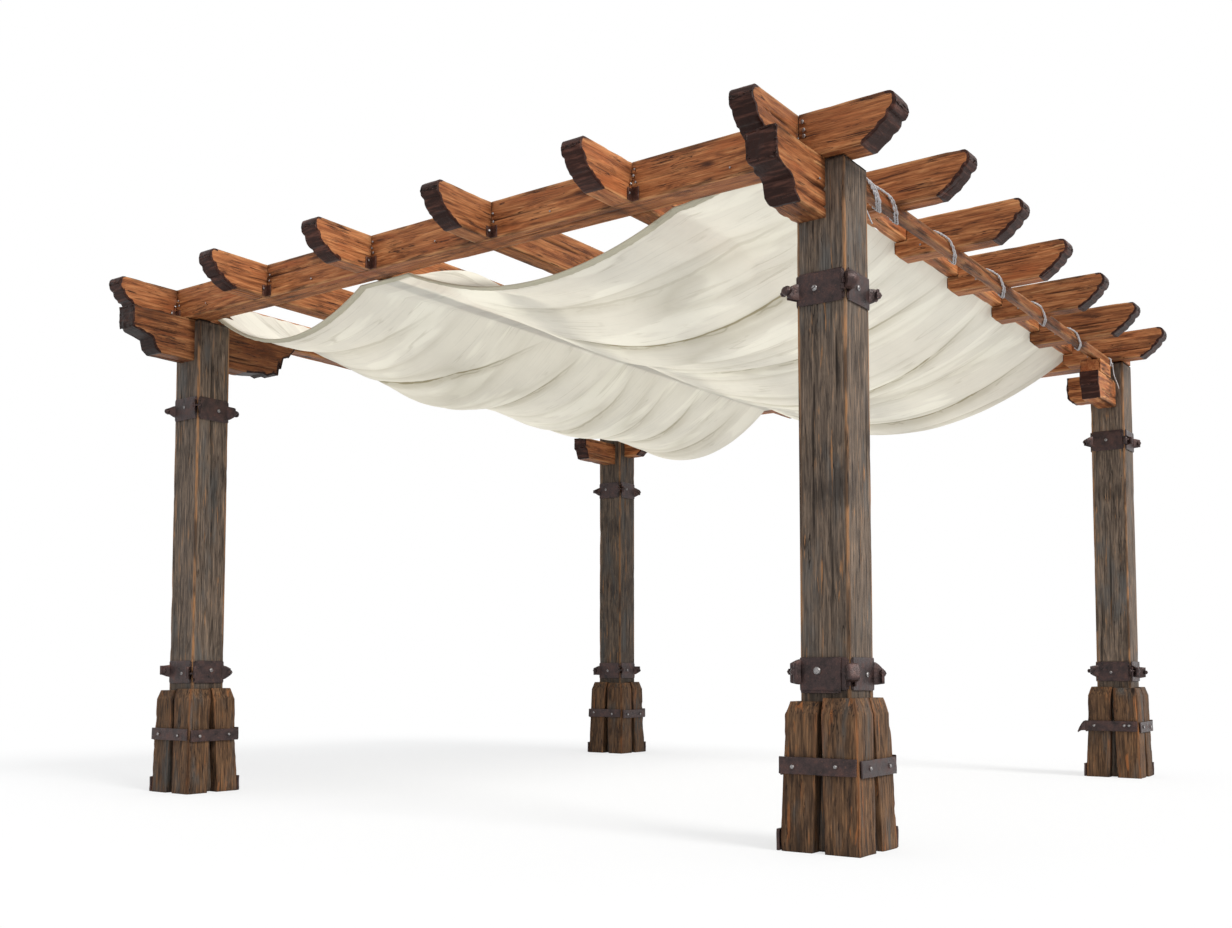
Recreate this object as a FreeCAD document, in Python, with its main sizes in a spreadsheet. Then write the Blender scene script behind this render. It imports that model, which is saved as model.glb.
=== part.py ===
import FreeCAD, Part
import math
import os
import Sketcher

# Wooden garden gazebo: four posts, lapped roof timbers and a hung cloth canopy.
# Sizes in millimetres. X runs along the front, Y to the back, Z up from the floor.

doc = FreeCAD.newDocument("Gazebo")
sheet = doc.addObject("Spreadsheet::Sheet", "Sizes")

SIZES = [
    ("PostSide", 200),
    ("PostEdge", 9),
    ("PostTop", 2532),
    ("SpanX", 3780),
    ("SpanY", 3888),
    ("BeamDepth", 171),
    ("BeamWidth", 130),
    ("BeamProud", 41),
    ("BeamOver", 220),
    ("BackBeamInset", 41),
    ("LapDepth", 86),
    ("JointGap", 1),
    ("RafterWidth", 100),
    ("RafterLead", 49),
    ("RafterDrift", 15),
    ("RafterOver", 386),
    ("CornerTailIn", 255),
    ("TailCap", 12),
    ("TailNose", 58),
    ("TailStepIn", 16),
    ("TailStepDrop", 84),
    ("TailKneeIn", 48),
    ("TailKneeDrop", 122),
    ("TailRun", 150),
    ("SideCap", 24),
    ("SideNose", 64),
    ("SideRun", 128),
    ("StubOver", 250),
    ("StubIn", 350),
    ("StubHeel", 26),
    ("RailWidth", 45),
    ("RailDepth", 40),
    ("RailShift", 40),
    ("RailTenon", 15),
    ("PurlinWidth", 60),
    ("PurlinDepth", 90),
    ("PurlinTenon", 30),
    ("BolsterWidth", 125),
    ("BolsterDepth", 227),
    ("BolsterOut", 480),
    ("BolsterIn", 595),
    ("BolsterStop", 20),
    ("BracketWidth", 110),
    ("BracketDepth", 160),
    ("BracketReach", 394),
    ("BracketTenon", 56),
    ("PackHeight", 82),
    ("PackLength", 330),
    ("PackRun", 230),
    ("PackProud", 12),
    ("CorbelReach", 165),
    ("CorbelDepth", 170),
    ("CorbelDrop", 47),
    ("CorbelWidth", 96),
    ("CorbelTenon", 30),
    ("CorbelShift", 10),
    ("CorbelHeel", 40),
    ("CorbelRise", 35),
    ("CollarHeight", 120),
    ("CollarThick", 6),
    ("CollarDrop", 542),
    ("CollarLift", 25),
    ("EarReach", 56),
    ("EarHeight", 66),
    ("EarThick", 16),
    ("EarBolt", 16),
    ("EarBoltLength", 58),
    ("FootHalf", 162),
    ("FootWaist", 148),
    ("FootCap", 130),
    ("FootWaistHeight", 490),
    ("FootCapHeight", 60),
    ("FootGapLow", 45),
    ("FootGapHigh", 15),
    ("StrapLow", 275),
    ("StrapHeight", 65),
    ("StrapThick", 8),
    ("StrapGap", 20),
    ("ShoeHeight", 80),
    ("ShoeThick", 11),
    ("ShoeLength", 125),
    ("ClothThick", 12),
    ("ClothGap", 5),
    ("ClothRise", 165),
    ("ClothWave", 28),
    ("ClothWaveLength", 1380),
    ("ClothWaveStart", 820),
    ("ClothSide", 78),
    ("SagFront", 172),
    ("SagBack", 284),
    ("SagLeftMore", 80),
    ("SagRightMore", 19),
    ("RidgeSpread", 110),
    ("CordWidth", 6),
    ("CordOff", 8),
    ("CordTurn", 18),
    ("RingFront", 30),
    ("RingBack", 20),
]

# Places worked out from the sizes above, in the same sheet.
PLACES = [
    ("PostOuterX", "SpanX / 2 + PostSide / 2"),
    ("PostOuterY", "SpanY / 2 + PostSide / 2"),
    ("BeamReach", "PostOuterX + BeamOver"),
    ("StubReach", "PostOuterX + StubOver"),
    ("StubEnd", "PostOuterX - StubIn"),
    ("StubPitch", "SpanY / 6"),
    ("RafterReach", "PostOuterY + RafterOver"),
    ("RafterStart", "PostOuterX + RafterLead"),
    ("RafterPitch", "(SpanX - RafterDrift) / 5"),
    ("FrontFace", "0 - PostOuterY - BeamProud"),
    ("FrontInner", "FrontFace + BeamWidth"),
    ("BackBeamFront", "SpanY / 2 - BackBeamInset"),
    ("CornerTailEnd", "FrontInner + CornerTailIn"),
    ("RoofTop", "PostTop + BeamDepth"),
    ("RailOuter", "SpanX / 2 + RailShift"),
    ("RailInner", "RailOuter - RailWidth"),
    ("RailLow", "PostTop - RailDepth"),
    ("BracketTop", "RailLow - PackHeight"),
    ("CorbelTop", "PostTop - CorbelDrop"),
    ("UpperCollar", "PostTop - CollarDrop"),
    ("FootHeight", "FootWaistHeight + FootCapHeight"),
    ("LowerCollar", "FootHeight + CollarLift"),
]

ALIASES = [name for name, value in SIZES + PLACES]


# Puts the sheet's name before each size in an expression.
def linked(text):
    out = ""
    word = ""
    for ch in text + " ":
        if ch.isalnum():
            word += ch
            continue
        out += "Sizes." + word if word in ALIASES else word
        out += ch
        word = ""
    return out.strip()


row = 1
for name, value in SIZES:
    sheet.set("A%d" % row, name)
    sheet.set("B%d" % row, str(value))
    sheet.setAlias("B%d" % row, name)
    row += 1
for name, text in PLACES:
    sheet.set("A%d" % row, name)
    sheet.set("B%d" % row, "=" + text)
    sheet.setAlias("B%d" % row, name)
    row += 1
doc.recompute()


def size(name):
    return float(sheet.get(name))


def amount(text):
    return float(sheet.evalExpression(text))


def bind(obj, prop, text):
    obj.setExpression(prop, linked(text))


def block(name, corner, lengths):
    obj = doc.addObject("Part::Box", name)
    obj.Label = name
    for prop, text in zip(("Length", "Width", "Height"), lengths):
        bind(obj, prop, text)
    for axis, text in zip("xyz", corner):
        bind(obj, "Placement.Base." + axis, text)
    return obj


def frustum(name, centre, low, high, base, height):
    obj = doc.addObject("Part::Wedge", name)
    obj.Label = name
    bind(obj, "Xmin", "-(%s)" % low[0])
    bind(obj, "Xmax", low[0])
    bind(obj, "Zmin", "-(%s)" % low[1])
    bind(obj, "Zmax", low[1])
    bind(obj, "X2min", "-(%s)" % high[0])
    bind(obj, "X2max", high[0])
    bind(obj, "Z2min", "-(%s)" % high[1])
    bind(obj, "Z2max", high[1])
    obj.Ymin = 0
    bind(obj, "Ymax", height)
    turn = FreeCAD.Rotation(FreeCAD.Vector(1, 0, 0), 90)
    obj.Placement = FreeCAD.Placement(FreeCAD.Vector(0, 0, 0), turn)
    for axis, text in zip("xyz", (centre[0], centre[1], base)):
        bind(obj, "Placement.Base." + axis, text)
    return obj


def joined(name, pieces):
    obj = doc.addObject("Part::MultiFuse", name)
    obj.Label = name
    obj.Shapes = pieces
    return obj


def without(name, base, tools):
    tool = tools[0]
    if len(tools) > 1:
        tool = joined(name + "Tools", tools)
    obj = doc.addObject("Part::Cut", name)
    obj.Label = name
    obj.Base = base
    obj.Tool = tool
    return obj


def shared(name, base, tool):
    obj = doc.addObject("Part::Common", name)
    obj.Label = name
    obj.Base = base
    obj.Tool = tool
    return obj


def plane_of(body, role):
    for feature in body.Origin.OriginFeatures:
        if feature.Role == role:
            return feature
    return None


# A board sawn to an outline: the outline lies in a body plane and is padded to its width.
def board(name, role, outline, width, place):
    body = doc.addObject("PartDesign::Body", name)
    body.Label = name
    sketch = body.newObject("Sketcher::SketchObject", name + "Outline")
    sketch.AttachmentSupport = [(plane_of(body, role), "")]
    sketch.MapMode = "FlatFace"
    count = len(outline)
    points = [FreeCAD.Vector(amount(linked(u)), amount(linked(v)), 0) for u, v in outline]
    for i in range(count):
        sketch.addGeometry(Part.LineSegment(points[i], points[(i + 1) % count]), False)
    for i in range(count):
        sketch.addConstraint(Sketcher.Constraint("Coincident", i, 2, (i + 1) % count, 1))
    for i in range(count):
        for kind, number, text in (("DistanceX", points[i].x, outline[i][0]),
                                   ("DistanceY", points[i].y, outline[i][1])):
            index = sketch.addConstraint(Sketcher.Constraint(kind, -1, 1, i, 1, number))
            sketch.setExpression("Constraints[%d]" % index, linked(text))
    pad = body.newObject("PartDesign::Pad", name + "Pad")
    pad.Profile = sketch
    bind(pad, "Length", width)
    pad.Midplane = True
    sketch.Visibility = False
    body.Tip = pad
    body.Placement = place[1]
    for axis, text in zip("xyz", place[0]):
        bind(body, "Placement.Base." + axis, text)
    return body


STRAIGHT = FreeCAD.Placement()
nodes = {}

# Posts: square shafts, worn back a little along all four arrises.
POSTS = {
    "front_left": (-1, -1),
    "front_right": (1, -1),
    "back_right": (1, 1),
    "back_left": (-1, 1),
}


def post_centre(name):
    sx, sy = POSTS[name]
    return "%d * SpanX / 2" % sx, "%d * SpanY / 2" % sy


def post_shaft(name):
    cx, cy = post_centre(name)
    half = "PostSide / 2"
    inset = "(PostSide / 2 - PostEdge)"
    less_half = "-1 * " + half
    less_inset = "-1 * " + inset
    outline = [
        (less_inset, less_half), (inset, less_half), (half, less_inset), (half, inset),
        (inset, half), (less_inset, half), (less_half, inset), (less_half, less_inset),
    ]
    return board("Shaft_" + name, "XY_Plane", outline, "PostTop", ((cx, cy, "PostTop / 2"), STRAIGHT))


def bolster_x(name):
    cx = post_centre(name)[0]
    if name == "front_right":
        return "(%s - PostSide / 2 + BolsterWidth / 2)" % cx
    return "(%s)" % cx


# The carved underside of a bolster: run in from its tip, and share of its depth reached there.
BOLSTER_OUTER = [(30, 0.56), (92, 0.63), (128, 0.69), (140, 0.9)]
BOLSTER_INNER = [(156, 0.85), (114, 0.71), (112, 0.44), (30, 0.24), (0, 0.12)]
BOLSTER_FOOT_OUTER = 170
BOLSTER_FOOT_INNER = 340
BOLSTER_TIP = 12


# Front bolsters lie in the post heads; the left one runs through, the right one stops inside.
def bolster(name, through):
    cy = post_centre(name)[1]
    outer = [("-1 * BolsterOut", "-1")]
    outer += [("%g - BolsterOut" % run, "-%g * BolsterDepth" % share) for run, share in BOLSTER_OUTER]
    outer.append(("%g - BolsterOut" % BOLSTER_FOOT_OUTER, "-1 * BolsterDepth - 1"))
    if through:
        inner = [("BolsterIn - %g" % BOLSTER_FOOT_INNER, "-1 * BolsterDepth - 1")]
        inner += [("BolsterIn - %g" % run, "-%g * BolsterDepth" % share) for run, share in BOLSTER_INNER]
        inner.append(("BolsterIn - %g" % BOLSTER_TIP, "-1"))
    else:
        inner = [
            ("PostSide / 2 - BolsterStop", "-1 * BolsterDepth - 1"),
            ("PostSide / 2 - BolsterStop", "-1"),
        ]
    place = ((bolster_x(name), cy, "PostTop + 1"),
             FreeCAD.Placement(FreeCAD.Vector(0, 0, 0), FreeCAD.Rotation(0, 0, 0)))
    return board("Bolster_" + name, "YZ_Plane", outer + inner, "BolsterWidth", place)


def post(name):
    cx, cy = post_centre(name)
    cuts = []
    if name in ("front_left", "front_right"):
        low = "PostTop - BolsterDepth"
        left = bolster_x(name) + " - BolsterWidth / 2"
        run = "PostSide - BolsterStop + 1"
        if name == "front_left":
            run = "PostSide + 2"
        cuts.append(block("HeadSlot_" + name, (left, cy + " - PostSide / 2 - 1", low),
                          ("BolsterWidth", run, "BolsterDepth + 1")))
    else:
        cuts.append(block("BracketSlot_" + name,
                          (cx + " - BracketWidth / 2", cy + " - PostSide / 2 - 1",
                           "BracketTop - BracketDepth"),
                          ("BracketWidth", "BracketTenon + 1", "BracketDepth")))
        side = " - PostSide / 2 - 1" if name == "back_right" else " + PostSide / 2 - CorbelTenon"
        cuts.append(block("CorbelSlot_" + name,
                          (cx + side, cy + " - CorbelWidth / 2 + CorbelShift",
                           "CorbelTop - CorbelDepth"),
                          ("CorbelTenon + 1", "CorbelWidth", "CorbelDepth")))
    if name in ("front_right", "back_right"):
        y = cy + " + PostSide / 2 - RailTenon" if name == "front_right" else cy + " - PostSide / 2 - 1"
        cuts.append(block("RailPocket_" + name, ("RailInner", y, "RailLow"),
                          ("RailWidth", "RailTenon + 1", "RailDepth + 1")))
    return without("Post_" + name, post_shaft(name), cuts)


for name in POSTS:
    nodes["post_" + name] = post(name)
nodes["bolster_front_left"] = bolster("front_left", True)
nodes["bolster_front_right"] = bolster("front_right", False)


# Back posts carry a stepped bracket to the front and a corbel towards the middle.
BRACKET_NOSE = [(0, 0.52), (26, 0.62)]
BRACKET_FOOT = 46


def bracket(name):
    cx, cy = post_centre(name)
    outline = [("-1 * BracketReach", "-1")]
    outline += [("%g - BracketReach" % run, "-%g * BracketDepth" % share) for run, share in BRACKET_NOSE]
    outline += [
        ("%g - BracketReach" % BRACKET_FOOT, "-1 * BracketDepth - 1"),
        ("BracketTenon", "-1 * BracketDepth - 1"),
        ("BracketTenon", "-1"),
    ]
    place = ((cx, cy + " - PostSide / 2", "BracketTop + 1"), STRAIGHT)
    return board("Bracket_" + name, "YZ_Plane", outline, "BracketWidth", place)


def corbel(name):
    cx, cy = post_centre(name)
    way = -1 if name == "back_right" else 1
    near = "%d * CorbelReach" % way
    heel = "%d * (CorbelReach - CorbelHeel)" % way
    root = "%d * CorbelTenon" % (-way)
    outline = [
        (near, "-1"),
        (near, "CorbelRise - CorbelDepth"),
        (heel, "-1 * CorbelDepth - 1"),
        (root, "-1 * CorbelDepth - 1"),
        (root, "-1"),
    ]
    place = ((cx + " + %d * PostSide / 2" % way, cy + " + CorbelShift", "CorbelTop + 1"), STRAIGHT)
    return board("Corbel_" + name, "XZ_Plane", outline, "CorbelWidth", place)


for name in ("back_right", "back_left"):
    nodes["bracket_" + name] = bracket(name)
    nodes["corbel_" + name] = corbel(name)
nodes["packing_block"] = block("Packing",
                               ("SpanX / 2 - BracketWidth / 2 - PackProud",
                                "SpanY / 2 - PostSide / 2 - PackLength", "BracketTop"),
                               ("BracketWidth + PackProud", "PackRun", "PackHeight"))

# Roof timbers.
# A tail is the shaped end of a timber: small cap, upright nose, step, knee, sloped run.
FRONT_TAIL = [
    ("TailCap", "0"), ("0", "TailCap"), ("0", "TailNose"), ("TailStepIn", "TailStepDrop"),
    ("TailKneeIn", "TailKneeDrop"), ("TailRun", "BeamDepth"),
]
SIDE_TAIL = [
    ("SideCap", "0"), ("0", "SideCap"), ("0", "SideNose"), ("SideRun", "BeamDepth"),
]


def tail_at(shape, reach, sign):
    return [("%d * (%s - (%s))" % (sign, reach, u), "-1 * (%s) - 1" % v) for u, v in shape]


def rafter_left(index):
    return "(%d * RafterPitch - RafterStart)" % index


def beam(name, front, ends):
    shape = board("Blank_" + name, "XZ_Plane", tail_at(SIDE_TAIL, "StubReach", -1) + ends,
                  "BeamWidth", (("0", front + " + BeamWidth / 2", "RoofTop + 1"), STRAIGHT))
    cuts = []
    for i in range(6 if name == "front" else 5):
        cuts.append(block("Lap_%s_%d" % (name, i + 1),
                          (rafter_left(i) + " - JointGap", front + " - 1", "RoofTop - LapDepth"),
                          ("RafterWidth + 2 * JointGap", "BeamWidth + 2", "LapDepth + 1")))
    edge = front + " + BeamWidth - PurlinTenon" if name == "front" else front + " - 1"
    cuts.append(block("PurlinPocket_" + name, ("StubEnd", edge, "RoofTop - PurlinDepth"),
                      ("PurlinWidth", "PurlinTenon + 1", "PurlinDepth + 1")))
    return without("Beam_" + name, shape, cuts)


front_end = list(reversed(tail_at(SIDE_TAIL, "BeamReach", 1)))
back_end = [("PostOuterX", "-1 * BeamDepth - 1"), ("PostOuterX", "-1")]
nodes["front_beam"] = beam("front", "FrontFace", front_end)
nodes["back_beam"] = beam("back", "BackBeamFront", back_end)


def rafter(index, full):
    name = "Rafter_%d" % (index + 1)
    front = tail_at(FRONT_TAIL, "RafterReach", -1)
    if full:
        back = list(reversed(tail_at(FRONT_TAIL, "RafterReach", 1)))
    else:
        back = [
            ("CornerTailEnd - StubHeel", "-1 * BeamDepth - 1"),
            ("CornerTailEnd", "StubHeel - BeamDepth - 1"),
            ("CornerTailEnd", "-1"),
        ]
    shape = board("Blank" + name, "YZ_Plane", front + back, "RafterWidth",
                  ((rafter_left(index) + " + RafterWidth / 2", "0", "RoofTop + 1"), STRAIGHT))
    cuts = [block(name + "FrontLap", (rafter_left(index) + " - 1", "FrontFace", "PostTop - 1"),
                  ("RafterWidth + 2", "BeamWidth", "BeamDepth - LapDepth + 1"))]
    if full:
        cuts.append(block(name + "BackLap", (rafter_left(index) + " - 1", "BackBeamFront", "PostTop - 1"),
                          ("RafterWidth + 2", "BeamWidth", "BeamDepth - LapDepth + 1")))
    return without(name, shape, cuts)


for i in range(5):
    nodes["rafter_%d" % (i + 1)] = rafter(i, True)
nodes["corner_tail"] = rafter(5, False)


def stub_front(index):
    return "(FrontFace + %d * StubPitch)" % index


# Side stubs rest on the rail and are notched over the purlin at their inner ends.
def stub(index):
    name = "Stub_%d" % (index + 1)
    outline = list(reversed(tail_at(SIDE_TAIL, "StubReach", 1))) + [
        ("StubEnd", "-1"), ("StubEnd", "StubHeel - BeamDepth - 1"),
        ("StubEnd + StubHeel", "-1 * BeamDepth - 1"),
    ]
    shape = board("Blank" + name, "XZ_Plane", list(reversed(outline)), "RafterWidth",
                  (("0", stub_front(index) + " + RafterWidth / 2", "RoofTop + 1"), STRAIGHT))
    notch = block(name + "Notch", ("StubEnd - 1", stub_front(index) + " - 1", "RoofTop - PurlinDepth"),
                  ("PurlinWidth + 1 + JointGap", "RafterWidth + 2", "PurlinDepth + 1"))
    return without(name, shape, [notch])


for i in range(1, 7):
    nodes["side_stub_%d" % i] = stub(i)

nodes["side_rail"] = block("SideRail",
                           ("RailInner", "PostSide / 2 - SpanY / 2 - RailTenon",
                            "RailLow"),
                           ("RailWidth", "SpanY - PostSide + 2 * RailTenon", "RailDepth"))
nodes["side_purlin"] = block("SidePurlin",
                             ("StubEnd", "FrontInner - PurlinTenon",
                              "RoofTop - PurlinDepth"),
                             ("PurlinWidth",
                              "BackBeamFront - FrontInner + 2 * PurlinTenon",
                              "PurlinDepth"))


# Iron collars: a plate on each face, with ears bent out at the corners and drawn up by a bolt.
def collar(name, level, label):
    cx, cy = post_centre(name)
    half = "(PostSide / 2 + CollarThick)"
    ring = without(label + "Ring",
                   block(label + "Outer", (cx + " - " + half, cy + " - " + half, level),
                         ("PostSide + 2 * CollarThick", "PostSide + 2 * CollarThick", "CollarHeight")),
                   [block(label + "Inner", (cx + " - PostSide / 2", cy + " - PostSide / 2", level + " - 1"),
                          ("PostSide", "PostSide", "CollarHeight + 2"))])
    pieces = [ring]
    for k in range(4):
        angle = 45 + 90 * k
        turn = FreeCAD.Rotation(FreeCAD.Vector(0, 0, 1), angle)
        along = (math.cos(math.radians(angle)), math.sin(math.radians(angle)))
        across = (-along[1], along[0])
        ear = doc.addObject("Part::Box", "%sEar%d" % (label, k + 1))
        ear.Placement = FreeCAD.Placement(FreeCAD.Vector(0, 0, 0), turn)
        root = "(PostSide * 0.7071 - PostEdge * 0.7071 + 1)"
        bind(ear, "Length", "EarReach")
        bind(ear, "Width", "EarThick")
        bind(ear, "Height", "EarHeight")
        for axis, centre, a, c in (("x", cx, along[0], across[0]), ("y", cy, along[1], across[1])):
            bind(ear, "Placement.Base." + axis,
                 "%s + %.6f * %s - %.6f * EarThick / 2" % (centre, a, root, c))
        bind(ear, "Placement.Base.z", level + " + (CollarHeight - EarHeight) / 2")
        bolt = doc.addObject("Part::Cylinder", "%sBolt%d" % (label, k + 1))
        lay = FreeCAD.Rotation(FreeCAD.Vector(0, 0, 1), FreeCAD.Vector(across[0], across[1], 0))
        bolt.Placement = FreeCAD.Placement(FreeCAD.Vector(0, 0, 0), lay)
        bind(bolt, "Radius", "EarBolt / 2")
        bind(bolt, "Height", "EarBoltLength")
        out = "(%s + EarReach * 0.62)" % root
        for axis, centre, a, c in (("x", cx, along[0], across[0]), ("y", cy, along[1], across[1])):
            bind(bolt, "Placement.Base." + axis,
                 "%s + %.6f * %s - %.6f * EarBoltLength / 2" % (centre, a, out, c))
        bind(bolt, "Placement.Base.z", level + " + CollarHeight / 2")
        pieces += [ear, bolt]
    return joined(label, pieces)


for name in POSTS:
    nodes["collar_upper_" + name] = collar(name, "UpperCollar", "UpperCollar_" + name)
    nodes["collar_lower_" + name] = collar(name, "LowerCollar", "LowerCollar_" + name)


# Footings: four corner blocks about each post, open at the middle of every face.
def footing(name):
    centre = post_centre(name)
    label = "Foot_" + name
    low = ("FootHalf", "FootHalf")
    waist = ("FootWaist", "FootWaist")
    lower = frustum(label + "Lower", centre, low, waist, "0", "FootWaistHeight")
    upper = frustum(label + "Upper", centre, waist, ("FootCap", "FootCap"), "FootWaistHeight",
                    "FootCapHeight")
    shaft = block(label + "Shaft", (centre[0] + " - PostSide / 2", centre[1] + " - PostSide / 2", "-1"),
                  ("PostSide", "PostSide", "FootHeight + 2"))
    wide = "FootHalf + 5"
    gap_x = frustum(label + "GapX", centre, (wide, "FootGapLow / 2"), (wide, "FootGapHigh / 2"),
                    "0", "FootHeight")
    gap_y = frustum(label + "GapY", centre, ("FootGapLow / 2", wide), ("FootGapHigh / 2", wide),
                    "0", "FootHeight")
    return without(label, joined(label + "Body", [lower, upper]), [shaft, gap_x, gap_y])


# Ironwork at the foot: a bar on each face, and a low shoe plate on the left and the back face.
def foot_iron(name):
    centre = post_centre(name)
    cx, cy = centre
    label = "FootIron_" + name
    inner = frustum(label + "Inner", centre, ("FootHalf", "FootHalf"), ("FootWaist", "FootWaist"),
                    "0", "FootWaistHeight")
    outer = frustum(label + "Outer", centre, ("FootHalf + StrapThick", "FootHalf + StrapThick"),
                    ("FootWaist + StrapThick", "FootWaist + StrapThick"), "0", "FootWaistHeight")
    slab = block(label + "Slab", (cx + " - FootHalf - 30", cy + " - FootHalf - 30", "StrapLow"),
                 ("2 * FootHalf + 60", "2 * FootHalf + 60", "StrapHeight"))
    cuts = [inner]
    for k, (sx, sy) in enumerate(((-1, -1), (1, -1), (1, 1), (-1, 1))):
        edge = "(FootHalf + FootWaist) / 2"
        x = cx + (" + " + edge + " - StrapGap / 2" if sx > 0 else " - " + edge + " - StrapGap")
        y = cy + (" + " + edge + " - StrapGap / 2" if sy > 0 else " - " + edge + " - StrapGap")
        cuts.append(block("%sGap%d" % (label, k + 1), (x, y, "StrapLow - 1"),
                          ("1.5 * StrapGap", "1.5 * StrapGap", "StrapHeight + 2")))
    bars = without(label + "Bars", shared(label + "Band", outer, slab), cuts)
    shoe_outer = frustum(label + "ShoeOuter", centre, ("FootHalf + ShoeThick", "FootHalf + ShoeThick"),
                         ("FootWaist + ShoeThick", "FootWaist + ShoeThick"), "0", "FootWaistHeight")
    plan = joined(label + "ShoePlan", [
        block(label + "ShoeNear", (cx + " - FootHalf - 30", cy + " - FootHalf + 3", "0"),
              ("36", "ShoeLength", "ShoeHeight")),
        block(label + "ShoeFar", (cx + " + FootHalf - ShoeLength - 3", cy + " + FootHalf - 6", "0"),
              ("ShoeLength", "36", "ShoeHeight"))])
    core = frustum(label + "Core", centre, ("FootHalf", "FootHalf"), ("FootWaist", "FootWaist"),
                   "0", "FootWaistHeight")
    shoes = without(label + "Shoes", shared(label + "ShoeBand", shoe_outer, plan), [core])
    return joined(label, [bars, shoes])


for name in POSTS:
    nodes["footing_" + name] = footing(name)
    nodes["foot_iron_" + name] = foot_iron(name)


# Cloth canopy: one sheet in two troughs that run front to back.
# It is fixed along the first rafter, laid under the third and hung from the side purlin.
def smooth(t):
    t = max(0.0, min(1.0, t))
    return t * t * (3 - 2 * t)


def hang(x, left, right, left_z, right_z, sag):
    t = (x - left) / (right - left)
    return left_z + (right_z - left_z) * t - 4 * sag * t * (1 - t)


def cloth_front():
    return size("FrontInner") + size("ClothGap")


def cloth_back():
    return size("BackBeamFront") - size("ClothGap")


# Shares of the depth over which the troughs deepen, their waves grow and the ridge narrows from
# the front edge, and the share of a rafter bay at the right that stays taut at the front.
DEEPEN_SHARE = 0.34
WAVE_SHARE = 0.2
RIDGE_SHARE = 0.24
TAUT_SHARE = 0.6


def cloth_ridge(y):
    back = (y - cloth_front()) / (cloth_back() - cloth_front())
    spread = size("RidgeSpread") * (1 - smooth(back / RIDGE_SHARE))
    ridge = 2 * size("RafterPitch") - size("RafterStart")
    return ridge - spread, ridge + size("RafterWidth") + spread


def cloth_height(x, y):
    under = size("PostTop")
    depth = cloth_back() - cloth_front()
    back = (y - cloth_front()) / depth
    deepen = smooth(back / DEEPEN_SHARE)
    ridge_left, ridge_right = cloth_ridge(y)
    left = size("RafterWidth") - size("RafterStart")
    right = size("StubEnd")
    turn = 2 * math.pi * (y + size("ClothWaveStart")) / size("ClothWaveLength")
    sag = size("SagFront") + (size("SagBack") - size("SagFront")) * deepen
    swell = size("ClothWave") * math.cos(turn) * smooth(back / WAVE_SHARE)
    if x < ridge_left:
        t = (x - left) / (ridge_left - left)
        high = under + size("ClothRise")
        return hang(x, left, ridge_left, high, under, sag + size("SagLeftMore")) - swell * 4 * t * (1 - t)
    if x <= ridge_right:
        return under
    t = (x - ridge_right) / (right - ridge_right)
    side = under + size("ClothSide")
    wide = hang(x, ridge_right, right, under, side, sag + size("SagRightMore"))
    short = right - size("RafterPitch") * TAUT_SHARE
    if x < short:
        tight = hang(x, ridge_right, short, under, under, size("SagFront"))
    else:
        tight = under + size("ClothSide") * smooth((x - short) / (right - short))
    return tight + (wide - tight) * deepen - swell * 4 * t * (1 - t)


def cloth_section(y):
    start = size("RafterWidth") - size("RafterStart")
    end = size("StubEnd")
    ridge_left, ridge_right = cloth_ridge(y)
    thick = size("ClothThick")
    spans = [(start, ridge_left, 12), (ridge_left, ridge_right, 2), (ridge_right, end, 16)]
    xs = [start]
    for low, high, steps in spans:
        xs += [low + (high - low) * (k + 1) / steps for k in range(steps)]
    upper = [FreeCAD.Vector(x, y, cloth_height(x, y)) for x in xs]
    lower = [FreeCAD.Vector(p.x, y, p.z - thick) for p in upper]
    top = Part.BSplineCurve()
    top.interpolate(upper)
    base = Part.BSplineCurve()
    base.interpolate(list(reversed(lower)))
    sides = [Part.LineSegment(upper[-1], lower[-1]), Part.LineSegment(lower[0], upper[0])]
    edges = [top.toShape(), sides[0].toShape(), base.toShape(), sides[1].toShape()]
    return Part.Wire(edges)


def canopy():
    front = cloth_front()
    depth = cloth_back() - cloth_front()
    steps = 13
    wires = [cloth_section(front + depth * k / steps) for k in range(steps + 1)]
    shape = Part.makeLoft(wires, True, False)
    room = size("PostSide") + 2 * size("ClothGap")
    corner = size("PostOuterX") + size("ClothGap")
    reach = size("PostOuterY") + size("ClothGap")
    base = size("PostTop") / 2
    for y in (-reach, reach - room):
        head = Part.makeBox(room, room, base * 2, FreeCAD.Vector(-corner, y, base))
        shape = shape.cut(head)
    obj = doc.addObject("Part::Feature", "Canopy")
    obj.Label = "Canopy"
    obj.Shape = shape.Solids[0]
    obj.Placement = FreeCAD.Placement(FreeCAD.Vector(0, 0, 0), FreeCAD.Rotation())
    return obj


nodes["canopy"] = canopy()


# Cord: straight runs joined by tangent arcs, swept with a round section.
def cord_tube(points, radius, turns, closed):
    count = len(points)
    edges = []
    starts = list(points)
    arcs = {}
    for i in range(count):
        if not closed and i in (0, count - 1):
            continue
        p = points[i]
        a = points[i - 1]
        b = points[(i + 1) % count]
        back = (a - p).normalize()
        ahead = (b - p).normalize()
        half = (math.pi - back.getAngle(ahead)) / 2
        reach = turns[i] * math.tan(half)
        one = p + back * reach
        two = p + ahead * reach
        middle = (back + ahead).normalize()
        centre = p + middle * (turns[i] / math.cos(half))
        mid = centre - middle * turns[i]
        arcs[i] = (one, mid, two)
    last = count if closed else count - 1
    for i in range(last):
        j = (i + 1) % count
        start = arcs[i][2] if i in arcs else points[i]
        end = arcs[j][0] if j in arcs else points[j]
        edges.append(Part.LineSegment(start, end).toShape())
        if j in arcs:
            edges.append(Part.Arc(*arcs[j]).toShape())
    path = Part.Wire(edges)
    begin = edges[0].Vertexes[0].Point
    heading = edges[0].tangentAt(edges[0].FirstParameter)
    ring = Part.Wire([Part.makeCircle(radius, begin, heading)])
    return path.makePipeShell([ring], True, False)


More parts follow.
